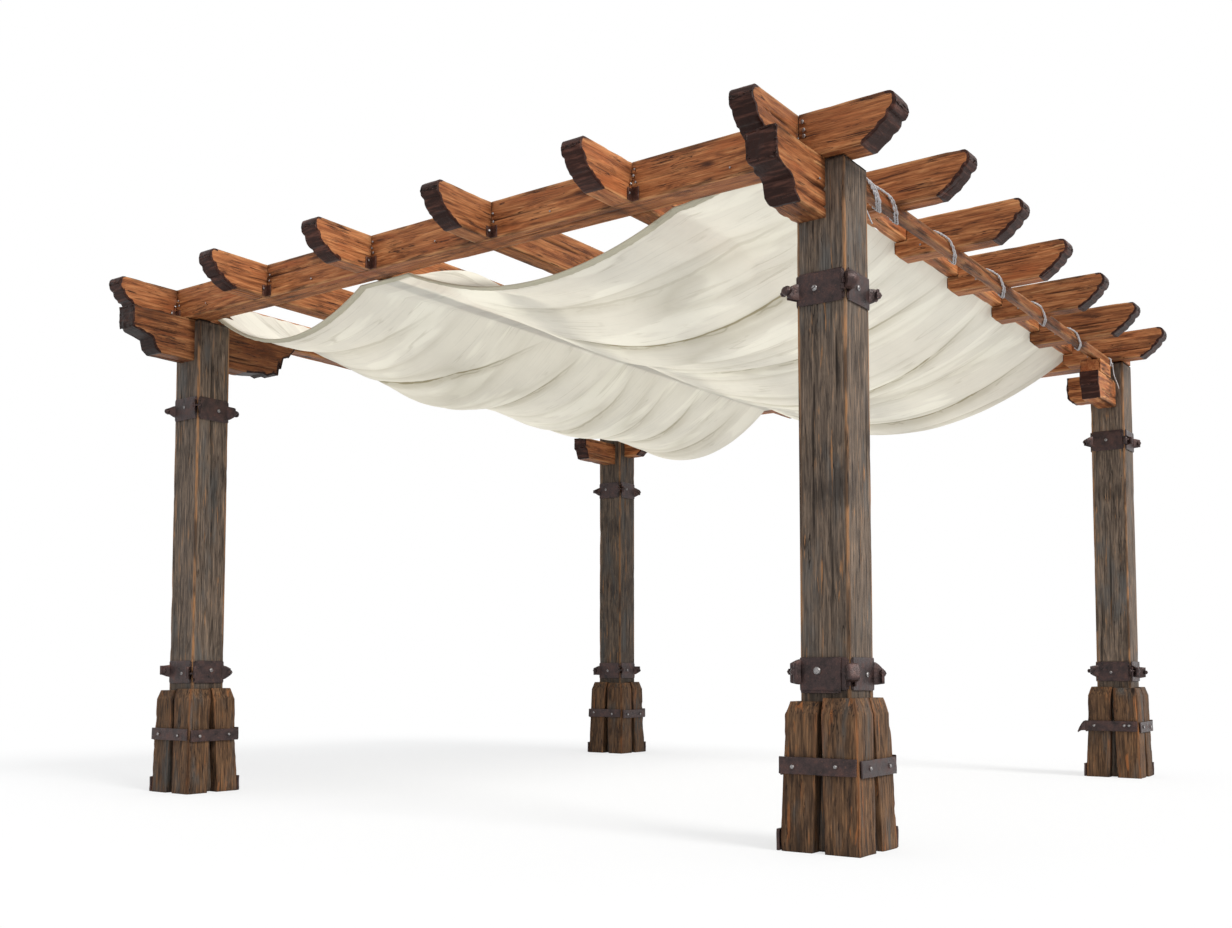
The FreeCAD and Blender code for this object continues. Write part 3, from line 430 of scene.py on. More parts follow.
def timber(name, axis, low, high, material, bottom=None, top=None, step=0.009, coarse=0.045,
           near=0.19, arris=0.007, chips=0.010, tip_chips=0.016, tips=(True, True), rough=1.0, checks=6,
           tone=(0.25, 0.75), joints=(), nodes=()):
    """A sawn length with worn arrises, shallow hewn relief and drying checks along its grain."""
    global timber_count
    timber_count += 1
    seed = 100 * timber_count
    pick = random.Random(seed)
    ia, ib, il = AXIS[axis]
    a0, a1, b0, b1, s0, s1 = low[ia], high[ia], low[ib], high[ib], low[il], high[il]
    bottom = bottom or [(s0, b0), (s1, b0)]
    top = top or [(s0, b1), (s1, b1)]
    across = spaced(a1 - a0, step)
    upward = spaced(b1 - b0, step) / (b1 - b0)
    nu, nv = len(across), len(upward)
    ring = [(i, 0) for i in range(nu)] + [(nu - 1, j) for j in range(1, nv)]
    ring += [(i, nv - 1) for i in range(nu - 2, -1, -1)] + [(0, j) for j in range(nv - 2, 0, -1)]
    count = len(ring)
    marks = [s for s, v in bottom + top]
    along = stations(s0, s1, marks, step, coarse, near)
    rows = len(along)

    # every vertex as a ring place (i, j) at a station, then the inner points of the two end faces
    inner = [(i, j) for i in range(1, nu - 1) for j in range(1, nv - 1)]
    ii = np.concatenate([np.tile([r[0] for r in ring], rows), np.tile([c[0] for c in inner], 2)]).astype(int)
    jj = np.concatenate([np.tile([r[1] for r in ring], rows), np.tile([c[1] for c in inner], 2)]).astype(int)
    ss = np.concatenate([np.repeat(along, count), np.repeat([s0, s1], len(inner))])
    floor_at = np.interp(ss, [s for s, v in bottom], [v for s, v in bottom])
    roof_at = np.interp(ss, [s for s, v in top], [v for s, v in top])
    aa = a0 + across[ii]
    bb = floor_at + upward[jj] * (roof_at - floor_at)

    # how far the dark of a cut end reaches over the faces beside it
    burn = np.zeros(len(ss))
    blot = np.stack([ss * 42, bb * 42, aa * 9], 1)
    width = 0.009 + 0.010 * fractal(blot, 3, seed + 21)
    for tipped, start, way in ((tips[0], s0, 1), (tips[1], s1, -1)):
        if tipped:
            away = away_from(ss, bb, end_outline(bottom, top, start, way, b0))
            burn = np.maximum(burn, 1 - smooth((away - width) / 0.007))
    # painted shade near the joints with other parts
    contact_shade = np.zeros(len(ss))
    for place in joints:
        contact_shade = np.maximum(contact_shade, np.exp(-np.abs(ss - place) / 0.014))

    # rounding and chips at the long arrises
    left, right = aa - a0, a1 - aa
    under, over = bb - floor_at, roof_at - bb
    da, db = np.minimum(left, right), np.minimum(under, over)
    corner = (right < left).astype(int) + 2 * (over < under).astype(int)
    tip = np.zeros(len(ss))
    if tips[0]:
        tip = np.maximum(tip, 1 - smooth((ss - s0) / 0.17))
    if tips[1]:
        tip = np.maximum(tip, 1 - smooth((s1 - ss) / 0.17))
    spot = np.stack([ss * 9.0, corner * 7.3, np.full(len(ss), 0.5)], 1)
    knock = np.clip(fractal(spot, 3, seed) * 1.9 - 0.25, 0, 1)
    spot[:, 0] = ss * 34.0
    nick = np.clip(fractal(spot, 2, seed + 3) * 1.8, 0, 1)
    radius = arris * (0.75 + 0.5 * knock) + chips * rough * knock ** 2 + tip * tip_chips * nick * (under < over)
    ex, ey = np.clip(radius - da, 0, None), np.clip(radius - db, 0, None)
    reach = np.hypot(ex, ey)
    pull = np.where(reach > radius, radius / np.maximum(reach, 1e-9), 1.0)
    shift_a = (ex - ex * pull) * np.where(left < right, 1, -1)
    shift_b = (ey - ey * pull) * np.where(under < over, 1, -1)
    edge = np.exp(-np.hypot(da, db) / 0.012) * (np.minimum(da, db) < 0.004)
    wear = np.exp(-np.maximum(da, db) / 0.013)

    # relief on the faces, always inwards
    local = np.stack([aa, bb, ss], 1) + seed * 0.37
    hewn = 0.5 + 0.5 * fractal(local * (7.0, 7.0, 2.2), 2, seed + 5)
    ridges = 0.5 + 0.5 * fractal(local * (85.0, 85.0, 3.5), 2, seed + 7)
    depth = rough * (0.0030 * hewn + 0.0013 * ridges)
    groove = np.zeros(len(ss))
    side = np.where(da < 1e-6, np.where(left < right, 0, 1), np.where(under < over, 2, 3))
    run = np.where(side < 2, bb, aa)
    for k in range(checks):
        face = pick.choice((0, 1, 0, 1, 2, 3))
        lo_c, hi_c = (b0, b1) if face < 2 else (a0, a1)
        centre = lo_c + (hi_c - lo_c) * pick.uniform(0.18, 0.82)
        length = min(pick.uniform(0.15, 0.75), 0.8 * (s1 - s0))
        start = pick.uniform(s0 + 0.02, s1 - length - 0.02)
        wander = 0.010 * noise(np.stack([ss * 4.0, np.full(len(ss), k * 3.1), np.zeros(len(ss))], 1), seed + 11)
        taper = np.clip(np.minimum(ss - start, start + length - ss) / (0.3 * length), 0, 1)
        line = np.exp(-((run - centre - wander) / 0.0035) ** 2) * np.sqrt(taper) * (side == face)
        groove = np.maximum(groove, line)
    depth = depth + 0.007 * rough * groove
    on_a = da < 1e-6
    on_b = (db < 1e-6) & (ii > -1)
    aa = aa + shift_a + np.where(on_a, np.where(left < right, depth, -depth), 0)
    bb = bb + shift_b + np.where(on_b, np.where(under < over, depth, -depth), 0)

    # soft rims and uneven faces at both ends
    for sign, start, tipped in ((1, s0, tips[0]), (-1, s1, tips[1])):
        off = (ss - start) * sign
        soft = arris * 1.2
        inset = np.where(off < soft, soft - np.sqrt(np.clip(soft ** 2 - (soft - off) ** 2, 0, None)), 0)
        aa += inset * np.where(left < right, 1, -1) * (da < 1e-6)
        bb += inset * np.where(under < over, 1, -1) * (db < 1e-6)
        face_noise = 0.5 + 0.5 * fractal(np.stack([aa * 22, bb * 22, np.zeros(len(aa))], 1), 3, seed + 13)
        bite = (0.009 if tipped else 0.003) * rough * face_noise
        ss = ss + sign * bite * np.exp(-np.clip(off, 0, None) / 0.02)

    points = np.zeros((len(ss), 3))
    points[:, ia], points[:, ib], points[:, il] = aa, bb, ss
    faces = []
    for r in range(rows - 1):
        base, after = r * count, (r + 1) * count
        for k in range(count):
            m = (k + 1) % count
            faces.append((base + k, base + m, after + m, after + k))
    place = {}
    for k, (i, j) in enumerate(ring):
        place[(i, j)] = k
    for end, base, first in ((0, 0, rows * count), (1, (rows - 1) * count, rows * count + len(inner))):
        table = {key: base + k for key, k in place.items()}
        for k, key in enumerate(inner):
            table[key] = first + k
        for i in range(nu - 1):
            for j in range(nv - 1):
                quad = (table[(i, j)], table[(i + 1, j)], table[(i + 1, j + 1)], table[(i, j + 1)])
                faces.append(quad[::-1] if end == 0 else quad)
    if axis == "Y":
        faces = [f[::-1] for f in faces]
    layers = {
        "grain": np.stack([aa, bb, ss], 1) - (a0, b0, s0) + np.array([seed * 0.113, seed * 0.071, seed * 0.053]),
        "wear": np.clip(wear + 0.5 * edge, 0, 1),
        "groove": np.clip(groove * 1.2, 0, 1),
        "tone": np.full(len(ss), pick.uniform(*tone)),
        "contact_shade": contact_shade,
        "end": burn,
    }
    obj = build(name, points, faces, material, layers)
    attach(obj, "root")
    if nodes:
        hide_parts(*nodes)
    return obj


FOOT_WAIST = 0.490
FOOT_TOP = 0.550
FOOT_HALF = (0.162, 0.148, 0.130)

# Tail outlines: distance in from the tip, and drop below the top.
NOSE_ROUND = 0.032
FRONT_TAIL_UNDER = [(0, 0.048), (0.004, 0.064), (0.014, 0.076), (0.026, 0.080), (0.030, 0.098), (0.040, 0.114),
                    (0.058, 0.126), (0.074, 0.129), (0.084, 0.142), (0.106, 0.155), (0.150, BEAM_DEPTH)]
SIDE_TAIL_UNDER = [(0, 0.050), (0.005, 0.064), (0.017, 0.076), (0.030, 0.080), (0.034, 0.096), (0.046, 0.112),
                   (0.064, 0.122), (0.074, 0.136), (0.096, 0.150), (0.128, BEAM_DEPTH)]


def nose_top(tip, way, radius=NOSE_ROUND):
    turns = [math.radians(a) for a in (0, 22.5, 45, 67.5, 90)]
    return [(tip + way * radius * (1 - math.cos(a)), ROOF_TOP - radius * (1 - math.sin(a))) for a in turns]


def tail_under(tip, way, shape):
    """The underside of a tail, its scallops a little different each time."""
    pick = random.Random(round(1000 * tip + 7 * way))
    line = [(tip + way * shape[0][0], ROOF_TOP - shape[0][1] + pick.uniform(-0.003, 0.002))]
    for u, v in shape[1:-1]:
        line.append((tip + way * (u + pick.uniform(-0.001, 0.001)), ROOF_TOP - v + pick.uniform(-0.001, 0.003)))
    return line + [(tip + way * shape[-1][0], ROOF_TOP - shape[-1][1])]


def lap(low, high, level, inner):
    """A square-shouldered step cut between two places along a timber."""
    return [(low, inner), (low + 0.0005, level), (high - 0.0005, level), (high, inner)]


def sort_line(line):
    return sorted(line, key=lambda pair: pair[0])


def rafters():
    lap_level = ROOF_TOP - LAP_DEPTH
    base = POST_TOP
    for name in RAFTERS + ["corner_tail"]:
        low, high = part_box(name)
        under = tail_under(low.y, 1, FRONT_TAIL_UNDER)
        over = nose_top(low.y, 1)
        under += lap(beam_low.y, beam_high.y, lap_level, base)
        if name == "corner_tail":
            under += [(high.y - 0.026, base), (high.y, base + 0.026)]
            over += [(high.y, ROOF_TOP)]
        else:
            under += lap(rear_low.y, rear_high.y, lap_level, base)
            under += tail_under(high.y, -1, FRONT_TAIL_UNDER)
            over += nose_top(high.y, -1)
        timber(name, "Y", low, high, ROOF_WOOD, sort_line(under), sort_line(over),
               tips=(True, name != "corner_tail"), checks=9, tip_chips=0.012,
               joints=(beam_low.y - 0.004, beam_high.y, rear_low.y, rear_high.y + 0.004), nodes=[name])


def beams():
    for name, low, high in (("front_beam", beam_low, beam_high), ("back_beam", rear_low, rear_high)):
        over = nose_top(low.x, 1)
        under = tail_under(low.x, 1, SIDE_TAIL_UNDER)
        carried = RAFTERS + ["corner_tail"] if name == "front_beam" else RAFTERS
        for rafter in carried:
            r_low, r_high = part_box(rafter)
            over += lap(r_low.x - LAP_GAP, r_high.x + LAP_GAP, ROOF_TOP - LAP_DEPTH, ROOF_TOP)
        if name == "front_beam":
            over += nose_top(high.x, -1)
            under += tail_under(high.x, -1, SIDE_TAIL_UNDER)
        else:
            over += [(high.x, ROOF_TOP)]
            under += [(high.x, POST_TOP)]
        timber(name, "X", low, high, ROOF_WOOD, sort_line(under), sort_line(over),
               step=0.007 if name == "front_beam" else 0.009, tips=(True, name == "front_beam"),
               checks=14, tip_chips=0.012,
               joints=[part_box(r)[k].x for r in carried for k in (0, 1)], nodes=[name])


def stubs():
    heel = 0.026
    notch = purlin_high.x + LAP_GAP
    for name in STUBS:
        low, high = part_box(name)
        under = [(low.x, POST_TOP + heel), (low.x + heel, POST_TOP)] + tail_under(high.x, -1, SIDE_TAIL_UNDER)
        over = [(low.x, purlin_low.z), (notch - 0.0005, purlin_low.z), (notch, ROOF_TOP)]
        over += nose_top(high.x, -1, 0.034)
        timber(name, "X", low, high, ROOF_WOOD, sort_line(under), sort_line(over),
               step=0.006, coarse=0.018, tips=(False, True), checks=5, tip_chips=0.018,
               nodes=[name])


def small_roof_pieces():
    housed = rail_high + Vector((0, 0, RAIL_TOP_EXTRA))
    timber("side_rail", "Y", rail_low, housed, ROOF_WOOD, step=0.006, coarse=0.02,
           tips=(False, False), arris=0.005, checks=5, tone=(0.05, 0.15), nodes=["side_rail"])
    low = Vector((purlin_low.x, beam_high.y, purlin_low.z))
    high = Vector((purlin_high.x, rear_low.y, purlin_high.z))
    timber("side_purlin", "Y", low, high, ROOF_WOOD, step=0.009, tips=(False, False),
           checks=4, nodes=["side_purlin"])
    low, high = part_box("packing_block")
    timber("packing_block", "Y", low, high, ROOF_WOOD, tips=(False, False), coarse=0.02,
           checks=2, nodes=["packing_block"])


# Carved ends of the bolsters: distance in from the tip, share of the depth.
BOLSTER_OUTER = [(0, 0), (0.030, 0.56), (0.092, 0.63), (0.128, 0.69), (0.140, 0.9), (0.170, 1)]
BOLSTER_INNER = [(0.340, 1), (0.235, 0.93), (0.205, 0.97), (0.160, 0.88), (0.128, 0.90), (0.108, 0.72), (0.118, 0.58),
                 (0.090, 0.42), (0.052, 0.38), (0.030, 0.25), (0.0005, 0.14), (0, 0.06)]


def bolsters():
    for name in ("bolster_front_left", "bolster_front_right"):
        low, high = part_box(name)
        depth = high.z - low.z
        under = [(low.y, high.z - 0.52 * depth)]
        under += [(low.y + u, high.z - v * depth) for u, v in BOLSTER_OUTER[1:]]
        if name == "bolster_front_left":
            under += [(high.y - u, high.z - v * depth) for u, v in BOLSTER_INNER]
        else:
            under += [(high.y, low.z)]
            low = low - Vector((0.003, 0, 0))
        timber(name, "Y", low, high, ROOF_WOOD, sort_line(under), step=0.006, coarse=0.016,
               near=0.24, tips=(True, name.endswith("left")), tip_chips=0.034, rough=1.7, checks=9,
               tone=(0.0, 0.04) if name.endswith("left") else (0.24, 0.30),
               joints=(post_low.y, post_high.y), nodes=[name])


def back_brackets():
    for name in ("bracket_back_left", "bracket_back_right"):
        low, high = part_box(name)
        depth = high.z - low.z
        under = [(low.y, high.z - 0.52 * depth), (low.y + 0.026, high.z - 0.62 * depth),
                 (low.y + 0.046, low.z), (high.y, low.z)]
        timber(name, "Y", low, high, ROOF_WOOD, under, step=0.007, coarse=0.015,
               tips=(True, False), rough=1.4, nodes=[name])
    for name in ("corbel_back_left", "corbel_back_right"):
        low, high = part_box(name)
        if name.endswith("right"):
            under = [(low.x, low.z + 0.035), (low.x + 0.040, low.z), (high.x, low.z)]
        else:
            under = [(low.x, low.z), (high.x - 0.040, low.z), (high.x, low.z + 0.035)]
        timber(name, "X", low, high, ROOF_WOOD, under, step=0.007, coarse=0.015,
               tips=(name.endswith("right"), name.endswith("left")), rough=1.4, nodes=[name])


def posts():
    for name in CORNERS:
        low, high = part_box("post_" + name)
        high = high - Vector((0, 0, 0.003))
        close = name == "front_right"
        timber("post_" + name, "Z", low, high, POST_WOOD, step=0.006 if close else 0.009,
               coarse=0.034, near=0.02, arris=0.009, chips=0.007, tips=(False, False),
               checks=16 if close else 10, rough=0.8, joints=(high.z, high.z - 0.03, FOOT_TOP + 0.008),
               nodes=["post_" + name])


rafters()
beams()
stubs()
small_roof_pieces()
bolsters()
back_brackets()
posts()


# Footings: four tapered corner blocks about each post.

def footings():
    for corner in CORNERS:
        node = "footing_" + corner
        low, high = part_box(node)
        cx, cy = (low.x + high.x) / 2, (low.y + high.y) / 2
        pick = random.Random(corner)
        points, faces, grain, wear, tone, contact_shade = [], [], [], [], [], []
        for k, (sx, sy) in enumerate(((-1, -1), (1, -1), (1, 1), (-1, 1))):
            top = high.z - pick.uniform(0, 0.014)
            gap_x, gap_y = pick.uniform(0.8, 1.25), pick.uniform(0.8, 1.25)
            levels = np.unique(np.round(np.concatenate([
                [0, 0.003, 0.007], np.linspace(0.02, FOOT_WAIST - 0.01, 27), [FOOT_WAIST - 0.005, FOOT_WAIST],
                np.linspace(FOOT_WAIST + 0.006, top - 0.006, 7), [top - 0.002, top]]), 5))
            ring_parts = []
            for z in levels:
                half = np.interp(z, [0, FOOT_WAIST, FOOT_TOP], FOOT_HALF)
                share = z / FOOT_TOP
                gx = (0.029 - 0.022 * share) * gap_x
                gy = (0.029 - 0.022 * share) * gap_y
                inner = POST_SIDE / 2 - 0.004
                outline = [(gx, half), (gx, inner), (inner, inner), (inner, gy), (half, gy), (half, half)]
                ring_parts.append(outline)
            steps = [6, 14, 14, 6, 20, 20]
            ring = []
            for corner_at in range(6):
                for m in range(steps[corner_at]):
                    ring.append((corner_at, m / steps[corner_at]))
            count = len(ring)
            base = len(points)
            for z, outline in zip(levels, ring_parts):
                for c, t in ring:
                    p, q = outline[c], outline[(c + 1) % 6]
                    points.append((p[0] + (q[0] - p[0]) * t, p[1] + (q[1] - p[1]) * t, z))
            local = np.array(points[base:])
            half_at = np.interp(local[:, 2], [0, FOOT_WAIST, FOOT_TOP], FOOT_HALF)
            near_x, near_y = half_at - local[:, 0], half_at - local[:, 1]
            seed = 7000 + 40 * k + 900 * CORNERS.index(corner)
            spot = np.stack([local[:, 2] * 11, np.zeros(len(local)), np.zeros(len(local))], 1)
            knock = np.clip(fractal(spot, 3, seed) * 1.8, 0, 1)
            radius = 0.010 + 0.016 * knock
            ex, ey = np.clip(radius - near_x, 0, None), np.clip(radius - near_y, 0, None)
            reach = np.hypot(ex, ey)
            pull = np.where(reach > radius, radius / np.maximum(reach, 1e-9), 1.0)
            shifted = local.copy()
            shifted[:, 0] -= ex * (1 - pull)
            shifted[:, 1] -= ey * (1 - pull)
            outer = (np.minimum(near_x, near_y) < 0.001)
            ridge = 0.5 + 0.5 * fractal(local * (95, 95, 3.0) + seed, 2, seed + 2)
            hewn = 0.5 + 0.5 * fractal(local * (12, 12, 3.0) + seed, 2, seed + 4)
            depth = (0.003 * ridge + 0.008 * hewn) * outer
            shifted[:, 0] -= depth * (near_x < 0.001)
            shifted[:, 1] -= depth * (near_y < 0.001)
            sway = 0.006 * fractal(np.stack([local[:, 2] * 5, np.full(len(local), 3.0 * k), local[:, 2] * 0], 1), 2, seed + 6)
            gap_side = (local[:, 0] < 0.03) | (local[:, 1] < 0.03)
            shifted[:, 0] += sway * (local[:, 0] < 0.03)
            shifted[:, 1] += sway * (local[:, 1] < 0.03)
            world = shifted * (sx, sy, 1) + (cx, cy, 0)
            points[base:] = [tuple(p) for p in world]
            flip = sx * sy > 0
            rows = len(levels)
            for r in range(rows - 1):
                for m in range(count):
                    n = (m + 1) % count
                    quad = (base + r * count + m, base + r * count + n,
                            base + (r + 1) * count + n, base + (r + 1) * count + m)
                    faces.append(quad if not flip else quad[::-1])
            bottom = tuple(base + m for m in range(count))
            upper = tuple(base + (rows - 1) * count + m for m in range(count))
            faces.append(bottom[::-1] if not flip else bottom)
            faces.append(upper if not flip else upper[::-1])
            grain.append(local + (k * 1.7, seed * 0.01, seed * 0.003))
            corner_wear = np.exp(-np.hypot(near_x, near_y) / 0.03)
            slit_wear = np.exp(-np.minimum(local[:, 0], local[:, 1]) / 0.035) * outer
            wear.append(np.clip(0.8 * corner_wear + 0.9 * slit_wear, 0, 1))
            tone.append(np.full(len(local), pick.uniform(0.35, 0.7)))
            # painted shade where the footing meets the floor
            contact_shade.append(0.7 * np.exp(-local[:, 2] / 0.02))
        layers = {
            "grain": np.concatenate(grain), "wear": np.concatenate(wear), "tone": np.concatenate(tone),
            "groove": np.zeros(len(points)), "end": np.zeros(len(points)), "contact_shade": np.concatenate(contact_shade),
        }
        obj = build(node, np.array(points), faces, FOOT_WOOD, layers)
        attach(obj, "root")
        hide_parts(node)


footings()


# Canopy.
CLOTH_FRONT = beam_high.y + 0.005
CLOTH_BACK = rear_low.y - 0.005
LEFT_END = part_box("rafter_1")[1].x
RIDGE_LEFT, RIDGE_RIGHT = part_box("rafter_3")[0].x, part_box("rafter_3")[1].x
RIGHT_END = purlin_low.x
CLOTH_RISE = 0.165
SIDE_RISE = 0.078
SAG_FRONT = 0.172
SAG_BACK = 0.284
SAG_LEFT_MORE = 0.080
SAG_RIGHT_MORE = 0.019
RIDGE_SPREAD = 0.110
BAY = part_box("rafter_2")[0].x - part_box("rafter_1")[0].x

# Creases that cross each trough: place along the depth at the high end, drift towards the low middle, strength.
LEFT_CREASES = [(-1.42, -0.14, 0.35), (-0.64, -0.45, 1.0), (-0.28, -0.06, 0.85), (0.22, 0.19, 0.6),
                (0.66, 0.16, 0.45), (1.02, 0.16, 0.7), (1.58, 0.04, 0.6)]
RIGHT_CREASES = [(-1.50, 0.08, 0.35), (-1.04, 0.10, 1.0), (-0.60, 0.10, 0.35), (-0.14, 0.03, 0.85),
                 (0.44, 0.25, 0.95), (0.95, 0.20, 0.45), (1.42, 0.18, 0.95), (1.80, 0.02, 0.5)]


def depth_share(y):
    return (y - CLOTH_FRONT) / (CLOTH_BACK - CLOTH_FRONT)


def hang(x, left, right, left_z, right_z, sag):
    t = (x - left) / (right - left)
    return left_z + (right_z - left_z) * t - 4 * sag * t * (1 - t)


def ridge_edges(y):
    spread = RIDGE_SPREAD * (1 - smooth(depth_share(y) / 0.24))
    return RIDGE_LEFT - spread, RIDGE_RIGHT + spread


def base_height(x, y):
    back = depth_share(y)
    deepen = smooth(back / 0.34)
    ridge_left, ridge_right = ridge_edges(y)
    sag = SAG_FRONT + (SAG_BACK - SAG_FRONT) * deepen
    swell = 0.028 * np.cos(2 * math.pi * (y + 0.82) / 1.38) * smooth(back / 0.2)
    t_left = (x - LEFT_END) / (ridge_left - LEFT_END)
    z_left = hang(x, LEFT_END, ridge_left, POST_TOP + CLOTH_RISE, POST_TOP, sag + SAG_LEFT_MORE)
    z_left -= swell * 4 * t_left * (1 - t_left)
    t_right = (x - ridge_right) / (RIGHT_END - ridge_right)
    wide = hang(x, ridge_right, RIGHT_END, POST_TOP, POST_TOP + SIDE_RISE, sag + SAG_RIGHT_MORE)
    short = RIGHT_END - BAY * 0.6
    tight = np.where(x < short, hang(x, ridge_right, short, POST_TOP, POST_TOP, SAG_FRONT),
                     POST_TOP + SIDE_RISE * smooth((x - short) / (RIGHT_END - short)))
    z_right = tight + (wide - tight) * deepen - swell * 4 * t_right * (1 - t_right)
    z = np.where(x < ridge_left, z_left, np.where(x > ridge_right, z_right, POST_TOP))
    return z, np.clip(t_left, 0, 1), np.clip(t_right, 0, 1)


def folds(y, t, creases, seed):
    """Scallops between the creases, cusps at the creases, painted shade beside each crease, and how near each point is
    to one.
    """
    droop = 1 - np.clip(np.abs(2 * t - 1), 0, 1) ** 2
    lines = []
    for k, (start, drift, strength) in enumerate(creases):
        wander = 0.035 * noise(np.stack([t * 3.0, np.full(len(t), k * 5.3), np.zeros(len(t))], 1), seed + k)
        lines.append(start + drift * droop + wander)
    lines = [np.full(len(t), CLOTH_FRONT)] + lines + [np.full(len(t), CLOTH_BACK)]
    force = [0.15] + [c[2] for c in creases] + [0.15]
    bulge = np.zeros(len(t))
    dark = np.zeros(len(t))
    phase = np.zeros((len(t), 3))
    power = [0.0] + [c[2] for c in creases] + [0.0]
    for k in range(len(lines) - 1):
        low, high = lines[k], lines[k + 1]
        inside = (y >= low) & (y < high)
        u = np.clip((y - low) / np.maximum(high - low, 0.05), 0, 1)
        arch = (4 * u * (1 - u)) ** 0.65 * (0.75 + 0.5 * u)
        size = (force[k] + force[k + 1]) / 2
        bulge += np.where(inside, arch * size, 0)
        between = np.stack([k + u, power[k] * (1 - u) + power[k + 1] * u, high - low], 1)
        phase = np.where(inside[:, None], between, phase)
    # painted shade beside each crease, wider on the far side
    for line, size in zip(lines[1:-1], force[1:-1]):
        away = (y - line)
        dark = np.maximum(dark, 0.26 * size * np.exp(-(np.where(away > 0, away / 0.095, away / 0.035)) ** 2))
    phase[:, 1] *= np.clip(droop * 1.5, 0, 1)
    return bulge * droop, dark * np.clip(droop * 1.5, 0, 1), phase


LEFT_STEPS, RIDGE_STEPS, RIGHT_STEPS, DEPTH_STEPS = 82, 8, 120, 256
EDGE_LAP = 0.014
LIFT_HEIGHT = 0.118
LIFT_PLACE = (-0.16, CLOTH_FRONT + 0.25)


def canopy():
    ys = np.linspace(CLOTH_FRONT, CLOTH_BACK, DEPTH_STEPS)
    ridge_left, ridge_right = ridge_edges(ys)
    left = [LEFT_END + (ridge_left - LEFT_END) * k / LEFT_STEPS for k in range(LEFT_STEPS)]
    ridge = [ridge_left + (ridge_right - ridge_left) * k / RIDGE_STEPS for k in range(RIDGE_STEPS)]
    right = [ridge_right + (RIGHT_END - ridge_right) * k / RIGHT_STEPS for k in range(RIGHT_STEPS + 1)]
    gx = np.array(left + ridge + right)
    lines = len(gx)
    gy = np.tile(ys, (lines, 1))
    x, y = gx.ravel(), gy.ravel()
    z, t_left, t_right = base_height(x, y)
    edge_left, edge_right = ridge_edges(y)
    in_left, in_right = x < edge_left, x > edge_right
    bulge_l, dark_l, phase_l = folds(y, t_left, LEFT_CREASES, 310)
    bulge_r, dark_r, phase_r = folds(y, t_right, RIGHT_CREASES, 350)
    phase = np.where(in_left[:, None], phase_l, phase_r) * np.where(in_left | in_right, 1, 0)[:, None]
    bulge = np.where(in_left, bulge_l, 0) + np.where(in_right, bulge_r, 0)
    dark = np.where(in_left, dark_l, 0) + np.where(in_right, dark_r, 0)
    t = np.where(in_left, t_left, np.where(in_right, t_right, 0))
    slack = np.clip(4 * t * (1 - t), 0, 1)
    slant = y + 0.10 * np.sin(1.7 * x)
    ripple = fractal(np.stack([x * 1.1, slant * 8.0, np.zeros(len(x))], 1), 3, 41)
    fine = fractal(np.stack([x * 2.2, slant * 26.0, np.zeros(len(x))], 1), 2, 47)
    wrinkle = 1 - np.abs(noise(np.stack([x * 0.8 + 3.1, slant * 5.2, np.full(len(x), 7.7)], 1), 53))
    wrinkle = wrinkle ** 9
    back = depth_share(y)
    loose = np.sqrt(slack) * smooth(back / 0.03)
    z = z - 0.046 * bulge + 0.016 * slack * smooth(back / 0.1)
    z = z + (0.013 * ripple + 0.0036 * fine + 0.010 * wrinkle) * loose
    # painted shade along the wrinkles, added to the painted crease shade
    dark = np.maximum(dark, 0.30 * wrinkle * loose)
    pucker = np.exp(-np.minimum(np.abs(x - LEFT_END), np.abs(x - RIGHT_END)) / 0.07)
    z = z + 0.0025 * pucker * np.sin(y * 55 + 2 * noise(np.stack([y * 4, x * 0, x * 0], 1), 5))
    z = z + EDGE_LAP * smooth((x - RIGHT_END + 0.05) / 0.05)
    z = z + LIFT_HEIGHT * smooth((x - RIDGE_RIGHT) / 0.10) * np.exp(
        -((x - LIFT_PLACE[0]) / 0.25) ** 2 - ((y - LIFT_PLACE[1]) / 0.14) ** 2)
    points = np.stack([x, y, z - 0.002], 1)
    columns = len(ys)
    faces = []
    heads = [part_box("post_front_left"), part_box("post_back_left")]
    keep = np.ones(len(x), bool)
    for low, high in heads:
        keep &= ~((x < high.x + 0.006) & (y > low.y - 0.006) & (y < high.y + 0.006) & (x > low.x - 0.1))
    for i in range(lines - 1):
        for j in range(columns - 1):
            quad = (i * columns + j, (i + 1) * columns + j, (i + 1) * columns + j + 1, i * columns + j + 1)
            if all(keep[q] for q in quad):
                faces.append(quad)
    used = np.zeros(len(x), bool)
    for quad in faces:
        used[list(quad)] = True
    order = np.cumsum(used) - 1
    faces = [tuple(int(order[q]) for q in quad) for quad in faces]
    layers = {"weave": np.stack([x, y, np.zeros(len(x))], 1)[used], "crease_shade": np.clip(dark, 0, 1)[used],
              "fold": phase[used]}
    obj = build("canopy_cloth", points[used], faces, CLOTH, layers)
    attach(obj, "root")
    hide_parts("canopy")
    return obj, points.reshape(lines, columns, 3), ys


sheet, cloth_grid, cloth_ys = canopy()


